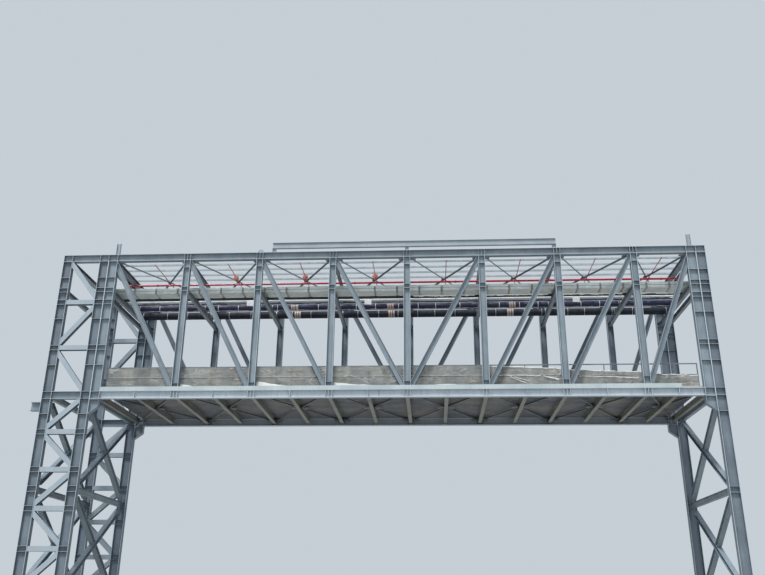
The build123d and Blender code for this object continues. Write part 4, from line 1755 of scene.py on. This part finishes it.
@dataclass(frozen=True)
class StripPlace:
    """Where one loose strip lies: its ends, the heights of its edges there, and what holds it."""

    start: float
    end: float
    left_top: float
    right_top: float
    left_foot: float = 12.05
    right_foot: float = 12.05
    caught_on: str = "deck_slab"

    @property
    def grounded(self) -> bool:
        """Whether it stands on the deck."""
        return self.caught_on == "deck_slab"


@dataclass
class LooseStrips:
    """Torn white foam sheet along the deck's near edge, leaning on the sheeting."""

    places: tuple[StripPlace, ...] = (
        StripPlace(-9.98, -9.1, 12.3, 12.14),
        StripPlace(-5.98, -3.9, 12.4, 12.12),
        StripPlace(-1.98, 0.6, 12.33, 12.12),
        StripPlace(2.9, 4.4, 12.18, 12.2),
        StripPlace(8.72, 9.58, 12.64, 12.49, 12.61, 12.385, "near_sheeting_6"),
        StripPlace(6.5, 8.7, 12.655, 12.64, 12.62, 12.605, "near_sheeting_6"),
        StripPlace(7.05, 7.82, 12.595, 12.29, 12.555, 12.25, "near_sheeting_6"),
        StripPlace(7.24, 8.04, 12.6, 12.375, 12.57, 12.345, "near_sheeting_6"),
        StripPlace(10.5, 13.5, 12.6, 12.515, 12.565, 12.475, "near_sheeting_7"),
    )
    top_y: float = -3.3
    foot_y: float = -3.36
    step: float = 0.11
    rows: int = 5
    ripple_step: float = 0.015
    ripple_limit: float = 0.02
    crumple: float = 0.004
    fold_turns: Pair = (0.7, 3.1)
    fullness: float = 1.02
    thickness: float = 0.002
    seed: int = 21

    def build(self) -> None:
        """Build every strip."""
        for number, place in enumerate(self.places):
            self.fold(f"loose_strip_{number + 1}", place, random.Random(self.seed + number))

    def fold(self, name: str, place: StripPlace, rng: random.Random) -> None:
        """Build one crumpled strip.

        Args:
            name: The strip's name.
            place: Where it lies.
            rng: The source of its uneven folds.
        """
        count = int((place.end - place.start) / self.step)
        lean = self.foot_y - self.top_y if place.grounded else 0.0
        lines, ripple, limit = [], 0.0, self.ripple_limit
        turn_along, turn_down = self.fold_turns
        for i in range(count + 1):
            x, u, line = place.start + i * self.step, i / count, []
            ripple = min(max(ripple + rng.uniform(-self.ripple_step, self.ripple_step), -limit), limit)
            top = place.left_top + (place.right_top - place.left_top) * u + ripple
            foot = place.left_foot + (place.right_foot - place.left_foot) * u
            foot += 0.0 if place.grounded else ripple
            for j in range(self.rows):
                v = j / (self.rows - 1)
                wave = math.sin(turn_down * j + i * turn_along)
                fold = rng.uniform(-self.crumple, 0.0) - self.crumple * (1 + wave)
                line.append((x, self.top_y + lean * v + fold, top + (foot - top) * v))
            lines.append(line)
        strip = lay_grid(name, lines)
        thicken(strip, self.thickness)
        finish_piece(strip, FOAM, Slot.LIGHT_SKIN, SHEET_ANGLE)


# Stage


@dataclass
class Studio:
    """The camera at the photograph's viewing angle, the floor and the light.

    Angles are in degrees. A sun's turn is its tilt from upright and its heading.
    """

    place: Triple = (3.04, -43.98, 1.6)
    pitch: float = 21.36
    roll: float = 0.53
    yaw: float = -3.58
    focal_pixels: float = 817.4
    image_width: float = 765.0
    sensor: float = 36.0
    floor_size: float = 400.0

    def build(self) -> None:
        """Build the camera, floor, lights and surroundings."""
        self.build_camera()
        self.build_floor()
        self.build_sun("high_key_light", energy=3.6, size=16.0, turn=(34, -28))
        self.build_sun("front_fill_light", energy=0.5, size=60.0, turn=(70, 20))
        self.build_surroundings()

    def build_camera(self) -> None:
        """Place the camera."""
        data = bpy.data.cameras.new("camera")
        data.sensor_fit = "HORIZONTAL"
        data.sensor_width = self.sensor
        data.lens = self.focal_pixels / self.image_width * self.sensor
        data.clip_end = 1000.0
        pitch, roll, yaw = (math.radians(v) for v in (self.pitch, self.roll, self.yaw))
        forward = Vector((math.sin(yaw) * math.cos(pitch), math.cos(yaw) * math.cos(pitch), math.sin(pitch)))
        right = Vector((math.cos(yaw), -math.sin(yaw), 0))
        up = right.cross(forward)
        turned_right = math.cos(roll) * right + math.sin(roll) * up
        turned_up = -math.sin(roll) * right + math.cos(roll) * up
        camera = bpy.data.objects.new("camera", data)
        turn = Matrix((turned_right, turned_up, -forward)).transposed()
        camera.matrix_world = Matrix.Translation(self.place) @ turn.to_4x4()
        bpy.context.scene.collection.objects.link(camera)
        bpy.context.scene.camera = camera

    def build_floor(self) -> None:
        """Lay a plain pale floor."""
        clear_selection()
        bpy.ops.mesh.primitive_plane_add(size=self.floor_size, location=(0, 0, 0))
        floor = bpy.context.active_object
        floor.name = "floor"
        material = bpy.data.materials.new("plain_floor")
        material.use_nodes = True
        shader = material.node_tree.nodes["Principled BSDF"]
        shader.inputs["Base Color"].default_value = linear("#b7b5b1")
        shader.inputs["Roughness"].default_value = 0.9
        floor.data.materials.append(material)

    def build_sun(self, name: str, energy: float, size: float, turn: Pair) -> None:
        """Add one soft sun lamp.

        Args:
            name: The lamp's name.
            energy: Its strength.
            size: Its apparent size.
            turn: Its tilt from upright and its heading.
        """
        data = bpy.data.lights.new(name, "SUN")
        data.energy = energy
        data.angle = math.radians(size)
        lamp = bpy.data.objects.new(name, data)
        lamp.rotation_euler = Euler((math.radians(turn[0]), 0, math.radians(turn[1])))
        bpy.context.scene.collection.objects.link(lamp)

    def build_surroundings(self) -> None:
        """Give the studio its pale surroundings."""
        world = bpy.data.worlds.new("studio")
        world.use_nodes = True
        background = world.node_tree.nodes["Background"]
        background.inputs["Color"].default_value = linear("#dbe4ec")
        background.inputs["Strength"].default_value = 0.8
        bpy.context.scene.world = world
        bpy.context.scene.view_settings.view_transform = "Standard"


def main() -> None:
    """Build the bridge's details in order and report each piece."""
    logging.basicConfig(level=logging.INFO, format="%(name)s: %(message)s")
    Studio().build()
    PALETTE.dress_nodes()
    for group in (
        InnerStiffeners(),
        AnchorBolts(),
        BaseStiffeners(),
        GussetBolts(),
        PurlinCleats(),
        LiftingLugs(),
        WebJoints(),
        RailFeet(),
        PipeRack(),
        DuctWrap(),
        TornFilm(),
        SprinklerFittings(),
        SheetingRun(-1, "near_sheeting", drops=NEAR_DROPS),
        SheetingRun(1, "far_sheeting"),
        LooseStrips(),
    ):
        group.build()
        LOG.info("%s built", type(group).__name__)
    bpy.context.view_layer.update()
    LOG.info("bridge built")


if __name__ == "__main__":
    main()
